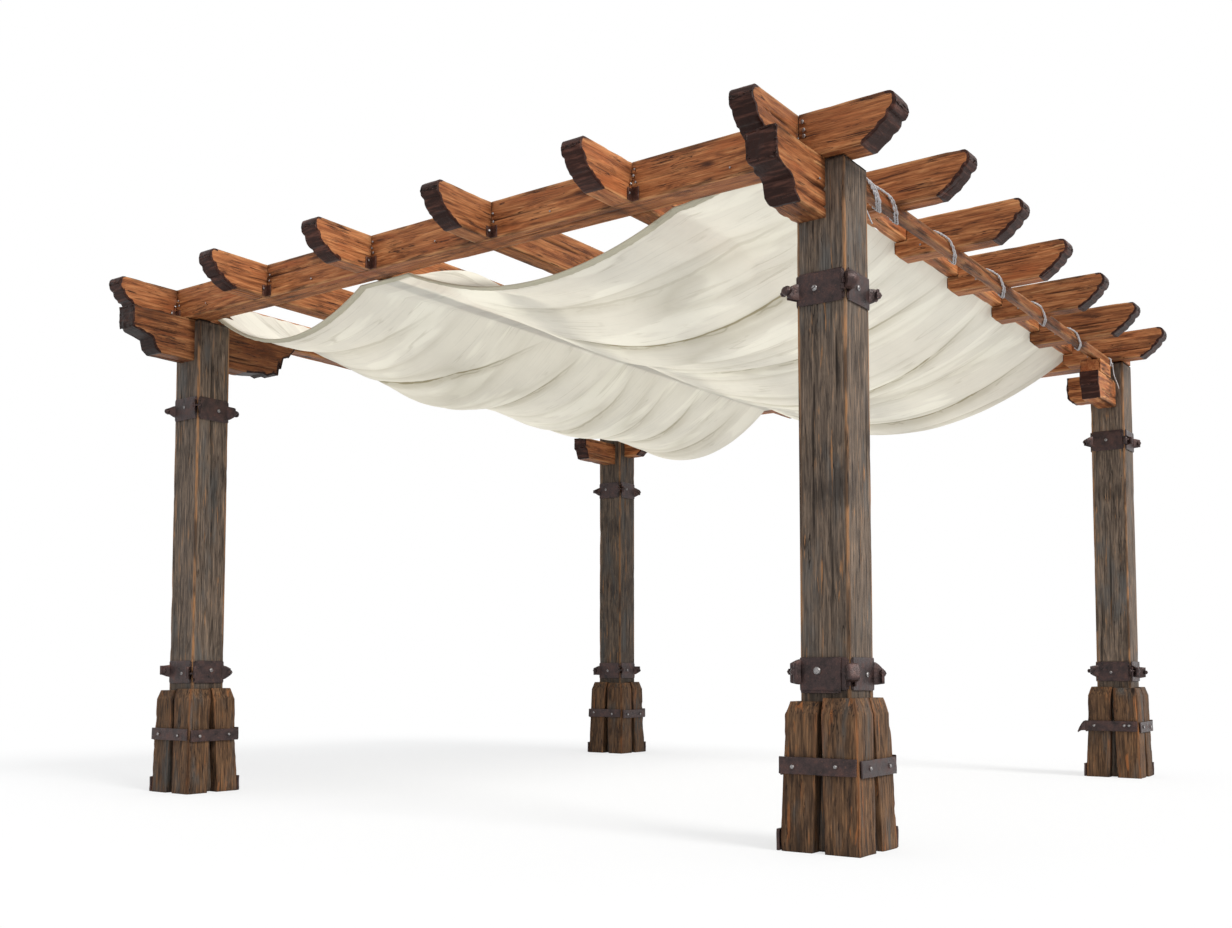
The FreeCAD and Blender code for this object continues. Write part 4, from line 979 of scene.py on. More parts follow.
def hem_strip():
    """The front edge is turned over and sewn, a flat roll a few centimetres deep."""
    edge = cloth_grid[:, 0, :]
    deep = 0.040
    rows = []
    for k, p in enumerate(edge):
        if p[0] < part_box("post_front_left")[1].x + 0.006:
            continue
        j = int(deep / (cloth_ys[1] - cloth_ys[0]))
        inner = cloth_grid[k, j, :]
        run = inner - p
        run /= np.linalg.norm(run)
        tangent = np.array([cloth_grid[min(k + 1, len(edge) - 1), 0, 0] - cloth_grid[max(k - 1, 0), 0, 0], 0,
                            cloth_grid[min(k + 1, len(edge) - 1), 0, 2] - cloth_grid[max(k - 1, 0), 0, 2]])
        tangent /= np.linalg.norm(tangent)
        down = np.cross(run, tangent)
        down = down if down[2] < 0 else -down
        pucker = 0.0015 * math.sin(p[0] * 160) + 0.001 * math.sin(p[0] * 61)
        outline = [(-0.004, 0.001), (-0.006, 0.006), (-0.002, 0.011), (0.010, 0.012 + pucker),
                   (0.022, 0.011 - pucker), (0.032, 0.009 + pucker), (0.036, 0.005), (0.038, 0.0015),
                   (0.032, -0.002), (0.020, -0.003), (0.004, -0.003)]
        rows.append([p + run * u + down * v for u, v in outline])
    count = len(rows[0])
    points = np.array(rows).reshape(-1, 3)
    faces = []
    for r in range(len(rows) - 1):
        for m in range(count):
            n = (m + 1) % count
            faces.append((r * count + m, r * count + n, (r + 1) * count + n, (r + 1) * count + m))
    faces.append(tuple(range(count))[::-1])
    faces.append(tuple((len(rows) - 1) * count + m for m in range(count)))
    layers = {"weave": points.copy(), "crease_shade": np.zeros(len(points)), "fold": np.zeros((len(points), 3))}
    obj = build("canopy_hem", points, faces, HEM, layers)
    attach(obj, "root")
    return obj


hem = hem_strip()


def area_of(obj):
    return sum(p.area for p in obj.data.polygons)


cloth_area = area_of(sheet)
print("cloth area", cloth_area)


# Loose ends of cord, along the routes of the part.
CORD_DIAMETER = 0.006
CORD_ROUTES = {
    "cord_end_front": [(1.944, -1.814, 2.512), (1.946, -1.815, 2.470), (1.955, -1.810, 2.424),
                       (1.971, -1.807, 2.380), (1.984, -1.795, 2.340)],
    "cord_end_back": [(1.944, 1.783, 2.512), (1.946, 1.784, 2.470), (1.954, 1.778, 2.426),
                      (1.971, 1.776, 2.384), (1.983, 1.763, 2.346)],
}


def loose_cords():
    for name, route in CORD_ROUTES.items():
        curve = bpy.data.curves.new(name + "_line", "CURVE")
        curve.dimensions = "3D"
        curve.bevel_depth = CORD_DIAMETER / 2
        curve.bevel_resolution = 3
        curve.resolution_u = 16
        spline = curve.splines.new("NURBS")
        spline.points.add(len(route) - 1)
        for point, place in zip(spline.points, route):
            point.co = (*place, 1)
        spline.order_u = 3
        spline.use_endpoint_u = True
        curve.materials.append(CORD)
        obj = bpy.data.objects.new(name + "_line", curve)
        bpy.context.scene.collection.objects.link(obj)
        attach(obj, "root")
        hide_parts(name)


loose_cords()

# Small shapes for the ironwork, each about its own origin.
def rounded_box(size, rim, step=0.02, uneven=0.0, seed=0):
    half = np.array(size) / 2
    rim = min(rim, 0.49 * min(size))
    cuts = []
    for h in half:
        flat = 2 * (h - rim)
        count = max(1, int(round(flat / step)))
        cuts.append(np.concatenate([[-h, -h + 0.3 * rim], np.linspace(rim - h, h - rim, count + 1), [h - 0.3 * rim, h]]))
    points, faces = [], []
    index = {}

    def at(i, j, k):
        key = (i, j, k)
        if key not in index:
            index[key] = len(points)
            points.append((cuts[0][i], cuts[1][j], cuts[2][k]))
        return index[key]

    ends = [len(c) - 1 for c in cuts]
    for axis in range(3):
        b, c = (axis + 1) % 3, (axis + 2) % 3
        for side in (0, ends[axis]):
            for m in range(ends[b]):
                for n in range(ends[c]):
                    quad = []
                    for dm, dn in ((0, 0), (1, 0), (1, 1), (0, 1)):
                        key = [0, 0, 0]
                        key[axis], key[b], key[c] = side, m + dm, n + dn
                        quad.append(at(*key))
                    faces.append(tuple(quad) if side else tuple(quad[::-1]))
    points = np.array(points)
    core = np.clip(points, rim - half, half - rim)
    out = points - core
    far = np.linalg.norm(out, axis=1, keepdims=True)
    points = core + out / np.maximum(far, 1e-9) * rim
    if uneven:
        points += uneven * np.stack([fractal(points * 45 + 9.1 * a, 2, seed + a) for a in range(3)], 1)
    return points, faces


def turned(profile, sides=20, uneven=0.0, seed=0):
    """A turned shape about Z from a list of radius and height, closed at both ends."""
    points, faces = [], []
    for r, z in profile:
        for k in range(sides):
            a = 2 * math.pi * k / sides
            points.append((r * math.cos(a), r * math.sin(a), z))
    rows = len(profile)
    for i in range(rows - 1):
        for k in range(sides):
            m = (k + 1) % sides
            faces.append((i * sides + k, i * sides + m, (i + 1) * sides + m, (i + 1) * sides + k))
    faces.append(tuple(range(sides))[::-1])
    faces.append(tuple((rows - 1) * sides + k for k in range(sides)))
    points = np.array(points)
    if uneven:
        points += uneven * np.stack([fractal(points * 60 + 5.3 * a, 2, seed + a) for a in range(3)], 1)
    return points, faces


def dome(radius, height, skirt=0.25):
    turns = np.linspace(0, math.pi / 2, 6)
    low = height * skirt
    rows = [(radius * 0.94, 0), (radius, low * 0.4), (radius, low)]
    rows += [(radius * math.cos(a), low + (height - low) * math.sin(a)) for a in turns[1:-1]]
    return rows + [(radius * 0.12, height)]


def ring(radius, tube, sides=18, around=9):
    points, faces = [], []
    for i in range(sides):
        a = 2 * math.pi * i / sides
        for j in range(around):
            b = 2 * math.pi * j / around
            r = radius + tube * math.cos(b)
            points.append((r * math.cos(a), r * math.sin(a), tube * math.sin(b)))
    for i in range(sides):
        for j in range(around):
            m, n = (i + 1) % sides, (j + 1) % around
            faces.append((i * around + j, m * around + j, m * around + n, i * around + n))
    return np.array(points), faces


def strip(path, low, high, thick, seed=0, uneven=0.0008):
    """An upright strip of plate along a plan path, with its lower and upper edge at every point."""
    path = np.array(path)
    step = np.gradient(path, axis=0)
    step /= np.linalg.norm(step, axis=1, keepdims=True)
    side = np.stack([-step[:, 1], step[:, 0]], 1)
    shares = [0.0, 0.012, 0.04, 0.25, 0.5, 0.75, 0.96, 0.988, 1.0]
    offs = [0.15, 0.36, 0.5, 0.5, 0.5, 0.5, 0.5, 0.36, 0.15]
    outline = [(a, o) for a, o in zip(shares, offs)] + [(a, -o) for a, o in zip(shares[::-1], offs[::-1])]
    points, faces = [], []
    for k in range(len(path)):
        for share, off in outline:
            x, y = path[k] + side[k] * off * thick
            points.append((x, y, low[k] + (high[k] - low[k]) * share))
    count = len(outline)
    for k in range(len(path) - 1):
        for m in range(count):
            n = (m + 1) % count
            faces.append((k * count + m, (k + 1) * count + m, (k + 1) * count + n, k * count + n))
    faces.append(tuple(range(count)))
    faces.append(tuple((len(path) - 1) * count + m for m in range(count))[::-1])
    points = np.array(points)
    if uneven:
        push = uneven * fractal(points * (30, 30, 22), 2, seed)
        points[:, :2] += push[:, None] * np.repeat(side, count, axis=0)
        points[:, 2] += 1.5 * uneven * fractal(points * (24, 24, 6), 2, seed + 1)
    return points, faces


class Kit:
    """Gathers small iron and steel shapes into one piece."""

    def __init__(self, name):
        self.name, self.points, self.faces, self.which, self.count = name, [], [], [], 0

    def add(self, shape, place, axes=((1, 0, 0), (0, 1, 0), (0, 0, 1)), metal=0):
        points, faces = shape
        axes = np.array(axes, float)
        axes /= np.linalg.norm(axes, axis=1, keepdims=True)
        flip = np.linalg.det(axes) < 0
        self.points.append(points @ axes + np.array(place, float))
        self.faces += [tuple(self.count + i for i in (f[::-1] if flip else f)) for f in faces]
        self.which += [metal] * len(faces)
        self.count += len(points)

    def finish(self, slot, *nodes, main=None):
        obj = build(self.name, np.concatenate(self.points), self.faces, main or IRON)
        obj.data.materials.append(STEEL)
        obj.data.polygons.foreach_set("material_index", self.which)
        obj.data.set_sharp_from_angle(angle=math.radians(38))
        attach(obj, "root")
        if nodes:
            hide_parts(*nodes)
        return obj


UP = np.array([0.0, 0.0, 1.0])
FACE_OUT = [np.array(v, float) for v in ((0, -1, 0), (1, 0, 0), (0, 1, 0), (-1, 0, 0))]


def along_face(out):
    return np.array([-out[1], out[0], 0.0])


def arc_turn(start, heading, radius, turn, steps):
    """Points of a bend from a start point; a positive turn goes left. Returns the points and the new heading."""
    points = []
    sign = 1 if turn > 0 else -1
    centre = np.array(start) + radius * sign * np.array([-math.sin(heading), math.cos(heading)])
    for k in range(1, steps + 1):
        a = heading + turn * k / steps
        points.append(tuple(centre + radius * sign * np.array([math.sin(a), -math.cos(a)])))
    return points, heading + turn


# Bolts at the collar corners: kind, place along the ear, head radius.
COLLAR_BOLTS = {
    ("upper", "front_right"): [("ball", 0.044, 0.018), ("ball", 0.032, 0.033), ("nut", 0.030, 0.015), ("dome", 0.034, 0.015)],
    ("lower", "front_right"): [("nut", 0.030, 0.014), ("square", 0.030, 0.028), ("nut", 0.028, 0.013), ("dome", 0.030, 0.014)],
    ("upper", "front_left"): [("dome", 0.038, 0.014), ("nut", 0.028, 0.013), ("ball", 0.036, 0.017), ("nut", 0.030, 0.013)],
    ("lower", "back_right"): [("nut", 0.036, 0.015), ("ball", 0.028, 0.020), ("nut", 0.034, 0.013), ("dome", 0.030, 0.014)],
}
COLLAR_BAND = 0.120
EAR_HEIGHT = 0.064
BAND_HALF = 0.088
PLATE = 0.006


def collars():
    for level in ("upper", "lower"):
        for corner in CORNERS:
            node = "collar_%s_%s" % (level, corner)
            low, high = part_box(node)
            cx, cy, z0 = (low.x + high.x) / 2, (low.y + high.y) / 2, low.z
            pick = random.Random(node)
            seed = 40 * (CORNERS.index(corner) + 4 * (level == "lower")) + 900
            kit = Kit(node)
            rims = []
            for k in range(4):
                reach = pick.uniform(0.036, 0.044)
                lift = pick.uniform(-0.010, 0.006)
                curl = pick.choice((0, 2, 3, 0, 1))
                tall = EAR_HEIGHT * pick.uniform(0.85, 1.15)
                cut_low, cut_high = pick.uniform(-0.1, 0.7), pick.uniform(-0.1, 0.7)
                rims.append((reach, lift, curl, tall, cut_low, cut_high))
            if (level, corner) == ("upper", "front_right"):
                rims[0] = (0.036, -0.004, 3, 0.062, 0.20, 0.55)
                rims[1] = (0.026, 0.000, 2, 0.066, 0.10, 0.10)
                rims[2] = (0.026, -0.004, 1, 0.052, 0.55, 0.15)
            elif (level, corner) == ("lower", "front_right"):
                rims[0] = (0.024, 0.008, 1, 0.092, 0.15, 0.35)
                rims[1] = (0.030, -0.006, 0, 0.078, 0.10, 0.00)
                rims[2] = (0.026, 0.002, 1, 0.084, 0.10, 0.75)
            for k, out in enumerate(FACE_OUT):
                run = along_face(out)
                path, lows, highs = [(0.0, 0.0035), (0.044, 0.0035), (0.080, 0.0035)], [], []
                reach, lift, curl, tall, cut_low, cut_high = rims[(k + 1) % 4]
                bend, heading = arc_turn((0.084, 0.0035), 0.0, 0.008, math.pi / 4, 4)
                right = path + [(0.084, 0.0035)] + bend
                ahead = np.array([math.cos(heading), math.sin(heading)])
                right += [tuple(np.array(bend[-1]) + ahead * d) for d in (0.004, 0.014, reach * 0.7, reach)]
                if curl in (1, 2):
                    more, heading = arc_turn(right[-1], heading, 0.0075, math.radians(200), 9)
                    right += more
                r2, l2, c2, tall_2, cut_low_2, cut_high_2 = rims[k]
                left = [(-x, y) for x, y in path[1:] + [(0.084, 0.0035)] + bend]
                mirror = np.array([-ahead[0], ahead[1]])
                left += [tuple(np.array(left[-1]) + mirror * d) for d in (0.004, 0.014, r2 * 0.7, r2)]
                if c2 in (1, 3):
                    more, turned_to = arc_turn(left[-1], math.pi - math.pi / 4, 0.0075, -math.radians(200), 9)
                    left += more
                whole = left[::-1] + right
                for i in range(len(whole)):
                    lift_here, tall_here, low_here, high_here = lift, tall, cut_low, cut_high
                    if i < len(left):
                        lift_here, tall_here, low_here, high_here = l2, tall_2, cut_low_2, cut_high_2
                    if abs(whole[i][0]) <= BAND_HALF and whole[i][1] < 0.006:
                        lows.append(z0)
                        highs.append(z0 + COLLAR_BAND)
                    else:
                        mid = z0 + COLLAR_BAND / 2 + lift_here
                        gone = min(1, max(0, math.hypot(abs(whole[i][0]) - 0.096, whole[i][1]) - 0.010) / 0.030)
                        lows.append(mid - tall_here / 2 * (1 - low_here * gone))
                        highs.append(mid + tall_here / 2 * (1 - high_here * gone))
                shape = strip(whole, np.array(lows), np.array(highs), PLATE, seed + k, 0.0012)
                place = np.array([cx, cy, 0]) + out * POST_SIDE / 2
                kit.add(shape, place, (run, out, UP))
                # a square-edged band behind, so the corners stay closed
                band = rounded_box((2 * BAND_HALF + 0.014, 0.004, COLLAR_BAND - 0.012), 0.0015, 0.03, 0.0006, seed + k + 9)
                kit.add(band, place + out * 0.0015 + UP * (z0 + COLLAR_BAND / 2), (run, out, UP))
            # bolts through the pairs of ears
            bolts = COLLAR_BOLTS.get((level, corner)) or [
                (pick.choice(("dome", "square", "nut", "ball")), pick.uniform(0.026, 0.036), pick.uniform(0.013, 0.017))
                for k in range(4)]
            for k, (sx, sy) in enumerate(((-1, -1), (1, -1), (1, 1), (-1, 1))):
                kind, away, size = bolts[k]
                out = np.array([sx, sy, 0]) / math.sqrt(2)
                across = np.array([-out[1], out[0], 0])
                mid = np.array([cx, cy, z0 + COLLAR_BAND / 2 + rims[k][1]])
                mid = mid + np.array([sx, sy, 0]) * POST_SIDE / 2 + out * away
                kit.add(turned([(0.0055, -0.024), (0.006, -0.022), (0.006, 0.020), (0.005, 0.022)], 12), mid,
                        (out, UP, across))
                before = k == 1 and corner == "front_right"
                grip = 0.016 if before else 0.0115
                if before:
                    at = mid + out * 0.006 - across * 0.016 + UP * (0.012 if level == "lower" else 0.0)
                    kit.add(turned([(0.010, 0.0), (0.010, grip + 0.020)], 12), at, (out, UP, across))
                if before and kind == "ball":
                    kit.add(turned(dome(size, size * 1.6, 0.45), 24, 0.0030, seed + k), at, (out, UP, across))
                elif before:
                    kit.add(rounded_box((size * 1.5, size * 2.2, size * 1.7), 0.009, 0.008, 0.002, seed + k),
                            at + across * size * 0.4, (out + 0.25 * UP, UP - 0.25 * out, across))
                elif kind == "ball":
                    kit.add(turned(dome(size, size * 1.5, 0.4), 20, 0.0022, seed + k), mid + across * grip, (out, UP, across))
                elif kind == "dome":
                    kit.add(turned(dome(size, size * 1.0, 0.3), 18, 0.0012, seed + k), mid + across * grip, (out, UP, across))
                elif kind == "square":
                    kit.add(rounded_box((size * 1.9, size * 2.0, size * 1.2), 0.005, 0.01, 0.001, seed + k),
                            mid + across * (grip + size * 0.6), (out + 0.2 * UP, UP, across))
                else:
                    kit.add(turned([(size * 0.9, 0), (size, 0.002), (size, 0.011), (size * 0.85, 0.013), (size * 0.5, 0.0135)],
                                   6, 0.0006, seed + k), mid + across * grip, (out, UP, across))
                nut = 0.013
                kit.add(turned([(nut * 0.9, 0), (nut, 0.002), (nut, 0.010), (nut * 0.85, 0.012), (nut * 0.5, 0.0125)],
                               6, 0.0005, seed + k + 5), mid - across * grip, (out, UP, -across))
            # screws in the plates
            for k, out in enumerate(FACE_OUT):
                run = along_face(out)
                close = corner == "front_right" and k == 0
                shift = -0.023 if close else pick.uniform(-0.035, 0.030)
                size = (0.0135 if level == "lower" else 0.0115) if close else pick.uniform(0.008, 0.011)
                rise = (0.071 if level == "lower" else 0.060) if close else pick.uniform(0.05, 0.072)
                place = np.array([cx, cy, z0 + rise]) + out * (POST_SIDE / 2 + 0.006) + run * shift
                kit.add(turned(dome(size, size * 0.62, 0.35), 18), place, (run, UP, out), 1)
                kit.add(rounded_box((size * 1.5, size * 0.28, 0.002), 0.0008, 0.02), place + out * size * 0.60,
                        (run + 0.6 * UP, UP - 0.6 * run, out), 0)
            if (level, corner) == ("lower", "front_right"):
                out, run = FACE_OUT[0], along_face(FACE_OUT[0])
                middle = np.array([cx, cy, z0 + 0.056]) + out * (POST_SIDE / 2 + 0.0085) - run * 0.012
                kit.add(rounded_box((0.160, 0.005, 0.128), 0.002, 0.02, 0.0012, seed + 31), middle, (run, out, UP))
                kit.add(rounded_box((0.150, 0.010, 0.008), 0.0035, 0.02, 0.001, seed + 33), middle - UP * 0.061 + out * 0.003,
                        (run, out, UP))
                size = 0.0145
                kit.add(turned(dome(size, size * 0.9, 0.4), 20), middle + out * 0.002 - run * 0.012 + UP * 0.016, (run, UP, out), 1)
            kit.finish("iron", node)


STRAP_MID = 0.3075
STRAP_HEIGHT = 0.062
FOOT_TAPER = (FOOT_HALF[0] - FOOT_HALF[1]) / FOOT_WAIST


def foot_ironwork():
    for corner in CORNERS:
        node = "foot_iron_" + corner
        low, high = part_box("post_" + corner)
        cx, cy = (low.x + high.x) / 2, (low.y + high.y) / 2
        pick = random.Random(node)
        seed = 1500 + 50 * CORNERS.index(corner)
        kit = Kit(node)
        half = FOOT_HALF[0] - FOOT_TAPER * STRAP_MID
        for k, out in enumerate(FACE_OUT):
            run = along_face(out)
            lean = UP - out * FOOT_TAPER
            left = -half - 0.006 if k in (0, 2) else -half + pick.uniform(0.010, 0.016)
            right = half - pick.uniform(0.008, 0.014) if k in (0, 2) else half + 0.004
            if k == 3:
                right = half - 0.008
            drop = 0.0 if k in (0, 2) else -0.006
            length = right - left
            place = np.array([cx, cy, STRAP_MID + drop]) + out * (half + 0.0025) + run * (left + right) / 2
            kit.add(rounded_box((length, 0.008, STRAP_HEIGHT), 0.0028, 0.016, 0.0016, seed + k), place, (run, out, lean))
            for share in (0.2, 0.77):
                spots = [share + pick.uniform(-0.03, 0.03)]
                if pick.random() < 0.35 and corner != "front_right":
                    spots.append(spots[0] + 0.09)
                for spot in spots:
                    size = pick.uniform(0.0065, 0.0090)
                    at = place + out * 0.0042 + run * (spot - 0.5) * length + UP * pick.uniform(-0.006, 0.004)
                    kit.add(turned([(size * 1.5, 0), (size * 1.55, 0.001), (size * 1.4, 0.002)], 18), at, (run, UP, out), 0)
                    kit.add(turned(dome(size, size * 0.75, 0.3), 16), at + out * 0.0015, (run, UP, out), 1)
        # low plates on the left and the back face
        for out, run, shift in ((FACE_OUT[3], along_face(FACE_OUT[3]), 1), (FACE_OUT[2], along_face(FACE_OUT[2]), -1)):
            place = np.array([cx, cy, 0.0400]) + out * (FOOT_HALF[0] + 0.0035) + run * shift * 0.0965
            kit.add(rounded_box((0.122, 0.012, 0.0780), 0.003, 0.012, 0.0016, seed + 20 + shift), place, (run, out, UP))
        if corner == "back_right":
            # a torn end of strap that hooks outwards at the left
            path = [(0.0, 0.0), (-0.010, -0.006), (-0.020, -0.016), (-0.028, -0.028), (-0.034, -0.040)]
            mid = np.array([STRAP_MID, STRAP_MID - 0.002, STRAP_MID - 0.010, STRAP_MID - 0.022, STRAP_MID - 0.036])
            wide = np.array([0.030, 0.028, 0.020, 0.012, 0.004])
            shape = strip(path, mid - wide, mid + wide, 0.005, seed + 41)
            kit.add(shape, (cx - half - 0.004, cy - half - 0.004, 0))
        kit.finish("iron", node)


# Fixings at the joints of the tails: angle plates and nails.
def fixings():
    kit = Kit("joint_fixings")
    pick = random.Random(51)
    spots = [(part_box(name)[1].x, 1) for name in RAFTERS] + [(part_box("corner_tail")[1].x, 1)]
    front = beam_low.y
    for n, (x, side) in enumerate(spots):
        tall, wide = pick.uniform(0.046, 0.060), pick.uniform(0.030, 0.040)
        z = POST_TOP + 0.004 + tall / 2
        if n < 5:
            kit.add(rounded_box((wide, 0.005, tall), 0.002, 0.012, 0.0018, 60 + n), (x + wide / 2, front - 0.001, z))
            kit.add(rounded_box((0.005, wide * 0.9, tall * 0.94), 0.002, 0.012, 0.0018, 70 + n),
                    (x + 0.001, front - wide * 0.45, z - 0.002))
        count = pick.choice((2, 3)) if n < 5 else 3
        for k in range(count):
            zz = POST_TOP + 0.075 + 0.026 * k + pick.uniform(-0.006, 0.006)
            off = pick.uniform(0.010, 0.034)
            nail(kit, (x + off, front, zz), (0, -1, 0), pick, 0.0055 if n < 5 else 0.0085)
        for k in range(pick.choice((1, 2)) if n < 5 else 2):
            zz = POST_TOP + 0.035 + 0.030 * k + pick.uniform(-0.008, 0.008)
            nail(kit, (x, front - pick.uniform(0.008, 0.030), zz), (1, 0, 0), pick, 0.005)
    # a few nails in the beams, bolsters and stubs
    for n in range(5):
        x = -1.6 + 0.76 * n + pick.uniform(-0.1, 0.1)
        nail(kit, (x, front, POST_TOP + pick.uniform(0.03, 0.06)), (0, -1, 0), pick, 0.004)
    for name in STUBS:
        low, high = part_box(name)
        nail(kit, (1.79 + pick.uniform(-0.02, 0.02), low.y, POST_TOP + 0.045), (0, -1, 0), pick, 0.005)
    low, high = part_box("bolster_front_right")
    nail(kit, (high.x, -2.11, 2.43), (1, 0, 0), pick, 0.005)
    nail(kit, (high.x, -2.02, 2.38), (1, 0, 0), pick, 0.004)
    kit.finish("iron", main=RUST)


def nail(kit, place, out, pick, size):
    out = np.array(out, float)
    tilt = np.array([pick.uniform(-0.35, 0.35), pick.uniform(-0.35, 0.35), pick.uniform(-0.2, 0.4)])
    lean = out + tilt - out * (tilt @ out)
    lean /= np.linalg.norm(lean)
    side = np.cross(UP, lean)
    side /= np.linalg.norm(side)
    top = np.cross(lean, side)
    place = np.array(place, float)
    stand = pick.uniform(0.006, 0.014)
    kit.add(turned([(0.0018, -0.006), (0.0020, 0.0), (0.0020, stand)], 8), place, (side, top, lean), 0)
    kit.add(turned(dome(size, size * 0.55, 0.4), 12, 0.0004, int(place[0] * 100) % 50), place + lean * (stand - 0.001),
            (side, top, lean), 1)


collars()
foot_ironwork()
fixings()


# Lashings of twisted twine that tie the rail under the stubs.
def smooth_line(route, closed):
    curve = bpy.data.curves.new("route", "CURVE")
    curve.dimensions = "3D"
    curve.resolution_u = 8
    spline = curve.splines.new("NURBS")
    spline.points.add(len(route) - 1)
    for point, place in zip(spline.points, route):
        point.co = (*place, 1)
    spline.order_u = 3
    spline.use_cyclic_u = closed
    spline.use_endpoint_u = not closed
    carrier = bpy.data.objects.new("route", curve)
    mesh = bpy.data.meshes.new_from_object(carrier)
    line = np.array([v.co for v in mesh.vertices])
    bpy.data.objects.remove(carrier)
    bpy.data.curves.remove(curve)
    bpy.data.meshes.remove(mesh)
    return line


def twine(route, closed, radius, strands, pitch, seed):
    """Strands laid about a route, each a thin uneven tube."""
    line = smooth_line(route, closed)
    runs = np.linalg.norm(np.diff(line, axis=0), axis=1)
    total = runs.sum()
    places = np.concatenate([[0], np.cumsum(runs)])
    count = max(8, int(total / 0.005))
    at = np.linspace(0, total, count)
    path = np.stack([np.interp(at, places, line[:, a]) for a in range(3)], 1)
    heading = np.gradient(path, axis=0)
    heading /= np.linalg.norm(heading, axis=1, keepdims=True)
    helper = np.where(np.abs(heading[:, 2:3]) > 0.8, np.array([[1.0, 0, 0]]), np.array([[0, 0, 1.0]]))
    one = np.cross(heading, helper)
    one /= np.linalg.norm(one, axis=1, keepdims=True)
    two = np.cross(heading, one)
    shapes = []
    sides = 7
    for k in range(strands):
        phase = 2 * math.pi * (k / strands + at / pitch)
        wobble = 1 + 0.5 * noise(np.stack([at * 30, np.full(count, k * 3.3), np.zeros(count)], 1), seed + k)
        lay = radius * 0.62 * wobble if strands > 1 else np.zeros(count)
        centre = path + one * (lay * np.cos(phase))[:, None] + two * (lay * np.sin(phase))[:, None]
        thin = radius * (0.62 if strands > 1 else 1.0) * (1 + 0.25 * noise(np.stack([at * 80, np.full(count, k), at * 0], 1), seed + 9))
        if not closed:
            thin = thin * np.clip(np.minimum(at, total - at) / 0.012, 0.25, 1)
        points, faces = [], []
        for i in range(count):
            for m in range(sides):
                a = 2 * math.pi * m / sides
                points.append(centre[i] + (one[i] * math.cos(a) + two[i] * math.sin(a)) * thin[i])
        for i in range(count - 1):
            for m in range(sides):
                n = (m + 1) % sides
                faces.append((i * sides + m, i * sides + n, (i + 1) * sides + n, (i + 1) * sides + m))
        faces.append(tuple(range(sides))[::-1])
        faces.append(tuple((count - 1) * sides + m for m in range(sides)))
        shapes.append((np.array(points), faces))
    return shapes


def lashings():
    points, faces, count = [], [], 0
    top = rail_high.z + RAIL_TOP_EXTRA + 0.004
    out = rail_high.x + 0.005
    low = rail_low.z - 0.005
    inner = rail_low.x - 0.005
    pick = random.Random(77)
    turns = []
    starts = []
    for n, name in enumerate(STUBS[:5]):
        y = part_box(name)[0].y - 0.010
        for k in range(2):
            starts.append((y - pick.uniform(0.20, 0.27), y - 0.016 + 0.022 * k + pick.uniform(-0.005, 0.005)))
    for k in range(4):
        starts.append((-1.870 + 0.012 * k, -1.640 + 0.012 * k + pick.uniform(-0.006, 0.006)))
    for a, b in starts:
        lean = pick.uniform(0.055, 0.085)
        turns.append([(inner, a, top - 0.006), (inner + 0.022, a + 0.012, top), (out - 0.008, a + 0.04, top + 0.001),
                      (out - 0.003, (a + b) / 2, top + 0.001), (out, b - lean, top - 0.003),
                      (out + 0.002, b - 0.7 * lean, top - 0.016), (out + 0.002, b - 0.35 * lean, (top + low) / 2 - 0.004),
                      (out + 0.001, b, low + 0.006), (out - 0.010, b + 0.016, low - 0.001), (inner + 0.016, b + 0.095, low),
                      (inner, b + 0.110, low + 0.008), (inner, b + 0.02, (top + low) / 2), (inner, (a + b) / 2, (top + low) / 2)])
    for y in (-1.814, -1.800, 1.775, 1.790):
        turns.append([(inner, y, top - 0.005), (out - 0.02, y + 0.004, top), (out, y + 0.006, top - 0.006),
                      (out, y - 0.002, low + 0.005), (out - 0.02, y - 0.004, low), (inner, y, low + 0.006)])
    ties = []
    face = post_high.x
    for k, (y, drop, foot) in enumerate(((-1.812, 0.030, 0.020), (-1.790, 0.052, 0.045), (-1.765, 0.080, 0.012))):
        ties.append([(out - 0.014, y, low + 0.010), (out + 0.002, y - 0.004, low - 0.004), (out + 0.010, y - 0.02, low - 0.012),
                     (face - foot, -1.838, low - 0.6 * drop), (face - foot, -1.850, low - drop - 0.012)])
    for n, (route, closed) in enumerate([(t, True) for t in turns] + [(t, False) for t in ties]):
        for shape in twine(route, closed, 0.0036, 2, 0.050, 600 + n):
            points.append(shape[0])
            faces += [tuple(count + i for i in f) for f in shape[1]]
            count += len(shape[0])
    obj = build("lashings_twine", np.concatenate(points), faces, CORD)
    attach(obj, "root")
    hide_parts("lashings")


lashings()


# Floor, light and camera.
FLOOR_PALE = 0.68


